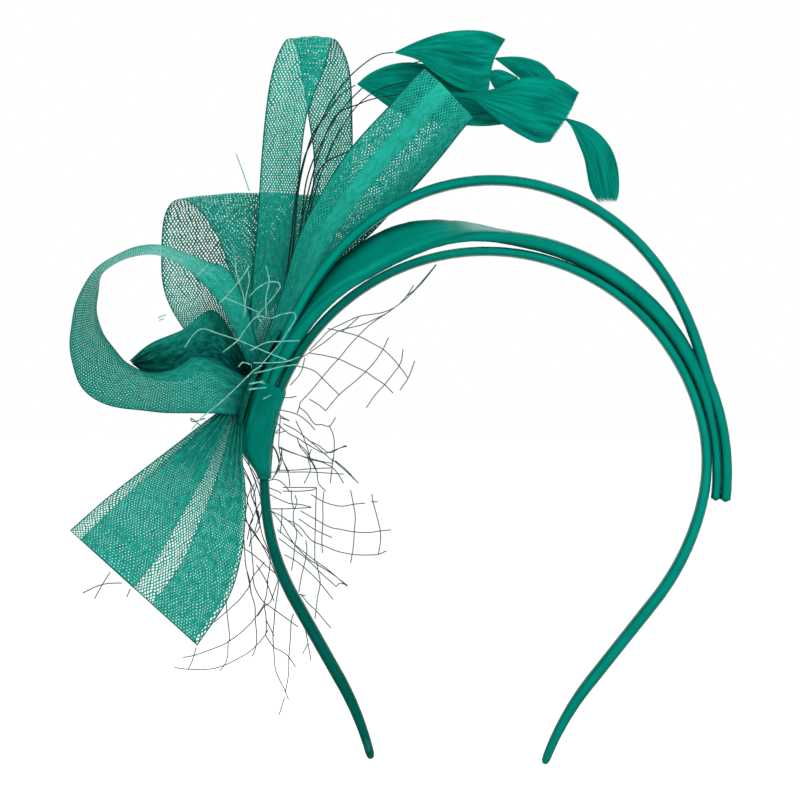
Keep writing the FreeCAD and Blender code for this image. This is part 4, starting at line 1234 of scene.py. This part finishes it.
net("veil_front_net", "veil_front", threads_in("ring", [
    (825, 1030, 880, 950, 940, 910, 1040, 940, 1160, 980, 1280, 1030, 1380, 1070, 1480, 1110),
    (1070, 1060, 1160, 990, 1220, 910, 1290, 830, 1380, 840, 1450, 815, 1530, 800),
    (1045, 745, 1110, 680, 1190, 580, 1240, 500),
    (1045, 745, 1085, 715, 1150, 735, 1240, 775, 1300, 800),
    (900, 570, 980, 490),
    (1240, 700, 1300, 640, 1370, 605, 1430, 610, 1440, 640),
    (1440, 640, 1390, 710, 1310, 800, 1290, 830, 1320, 860),
    (1530, 800, 1540, 840, 1500, 910, 1440, 1000, 1380, 1070, 1320, 1140),
    (1270, 1130, 1380, 1130, 1480, 1120, 1568, 1090),
    (870, 1560, 940, 1480, 1040, 1400, 1150, 1300, 1250, 1200, 1320, 1150),
    (1250, 1050, 1350, 1000, 1440, 990, 1568, 985),
    (1150, 450, 1160, 560, 1200, 680, 1220, 800),
    (1230, 520, 1240, 600, 1220, 700, 1210, 830),
    (1350, 500, 1370, 600, 1350, 700, 1350, 820),
    (1240, 1300, 1350, 1290),
    (1250, 1270, 1330, 1250),
    (1330, 1365, 1380, 1340),
    (655, 838, 680, 828, 705, 820),
    (660, 855, 690, 845),
]) + threads_in("whole", [
    (237, 155, 244, 174, 250, 192),
]) + threads_in("knot", [
    (200, 825, 150, 860, 120, 900),
    (160, 870, 250, 850, 330, 830, 440, 815),
    (130, 940, 180, 930, 230, 935),
    (130, 980, 180, 970, 240, 965),
    (140, 815, 90, 800, 60, 830),
]), -15.0, 0.3, 0.8, 0.19, 24, VEIL_PAINTED_LIT)


# Floor, backdrop, light and camera

def straight_rays(tree):
    """1 for what the camera sees straight, in a reflection or through glass, and 0 for the rest."""
    path = tree.nodes.new("ShaderNodeLightPath")
    straight = value(tree, "MAXIMUM", path.outputs["Is Camera Ray"], path.outputs["Is Transmission Ray"])
    return value(tree, "MAXIMUM", straight, path.outputs["Is Glossy Ray"])


def stage_material(name, colour, fill):
    """A plain matt finish that shows pale to the camera and in reflections, and keeps its shadows."""
    made = bpy.data.materials.new(name)
    made.use_nodes = True
    tree = made.node_tree
    shader = tree.nodes["Principled BSDF"]
    shader.inputs["Base Color"].default_value = (colour, colour, colour, 1)
    shader.inputs["Roughness"].default_value = 0.9
    shader.inputs["Specular IOR Level"].default_value = 0.1
    seen = straight_rays(tree)
    glow = tree.nodes.new("ShaderNodeEmission")
    both = tree.nodes.new("ShaderNodeAddShader")
    tree.links.new(value(tree, "MULTIPLY", seen, fill), glow.inputs["Strength"])
    tree.links.new(shader.outputs[0], both.inputs[0])
    tree.links.new(glow.outputs[0], both.inputs[1])
    tree.links.new(both.outputs[0], tree.nodes["Material Output"].inputs["Surface"])
    return made


FLOOR_Z = -0.0885
bpy.ops.mesh.primitive_plane_add(size=60, location=(0, 0, FLOOR_Z))
floor = bpy.context.object
floor.name = "floor"
floor.data.materials.append(stage_material("Floor", 0.8, 0.66))

world = bpy.data.worlds.new("Studio")
bpy.context.scene.world = world
world.use_nodes = True
tree = world.node_tree
back = tree.nodes["Background"]
back.inputs["Color"].default_value = (1, 1, 1, 1)
WORLD_LIGHT = 0.45
WORLD_REST_WHERE_SEEN = 0.55
seen = value(tree, "MULTIPLY", straight_rays(tree), WORLD_REST_WHERE_SEEN)
strength = value(tree, "ADD", seen, WORLD_LIGHT)
tree.links.new(strength, back.inputs["Strength"])


def lamp(name, place, target, size, power):
    data = bpy.data.lights.new(name, "AREA")
    data.size = size
    data.energy = power
    made = bpy.data.objects.new(name, data)
    bpy.context.scene.collection.objects.link(made)
    made.location = place
    aim = np.array(target) - np.array(place)
    made.rotation_euler = (math.atan2(math.hypot(aim[0], aim[1]), -aim[2]), 0,
                           math.atan2(aim[1], aim[0]) - math.pi / 2)
    return made


lamp("key", (0.6, -1.2, 1.6), (0, 0, 0.02), 0.7, 24.0)
lamp("fill", (1.5, -1.0, 0.3), (0, 0, 0.0), 1.2, 5.0)
lamp("rim", (0.3, 1.2, 1.1), (0, 0, 0.03), 0.8, 7.0)

camera_data = bpy.data.cameras.new("camera")
camera_data.lens = 500
camera_data.sensor_width = 36
camera_data.clip_end = 100
camera = bpy.data.objects.new("camera", camera_data)
bpy.context.scene.collection.objects.link(camera)
camera.location = (-0.0258, -3.3333, 0.0219)
camera.rotation_euler = (math.pi / 2, 0, 0)
bpy.context.scene.camera = camera
bpy.context.scene.view_settings.view_transform = "Standard"
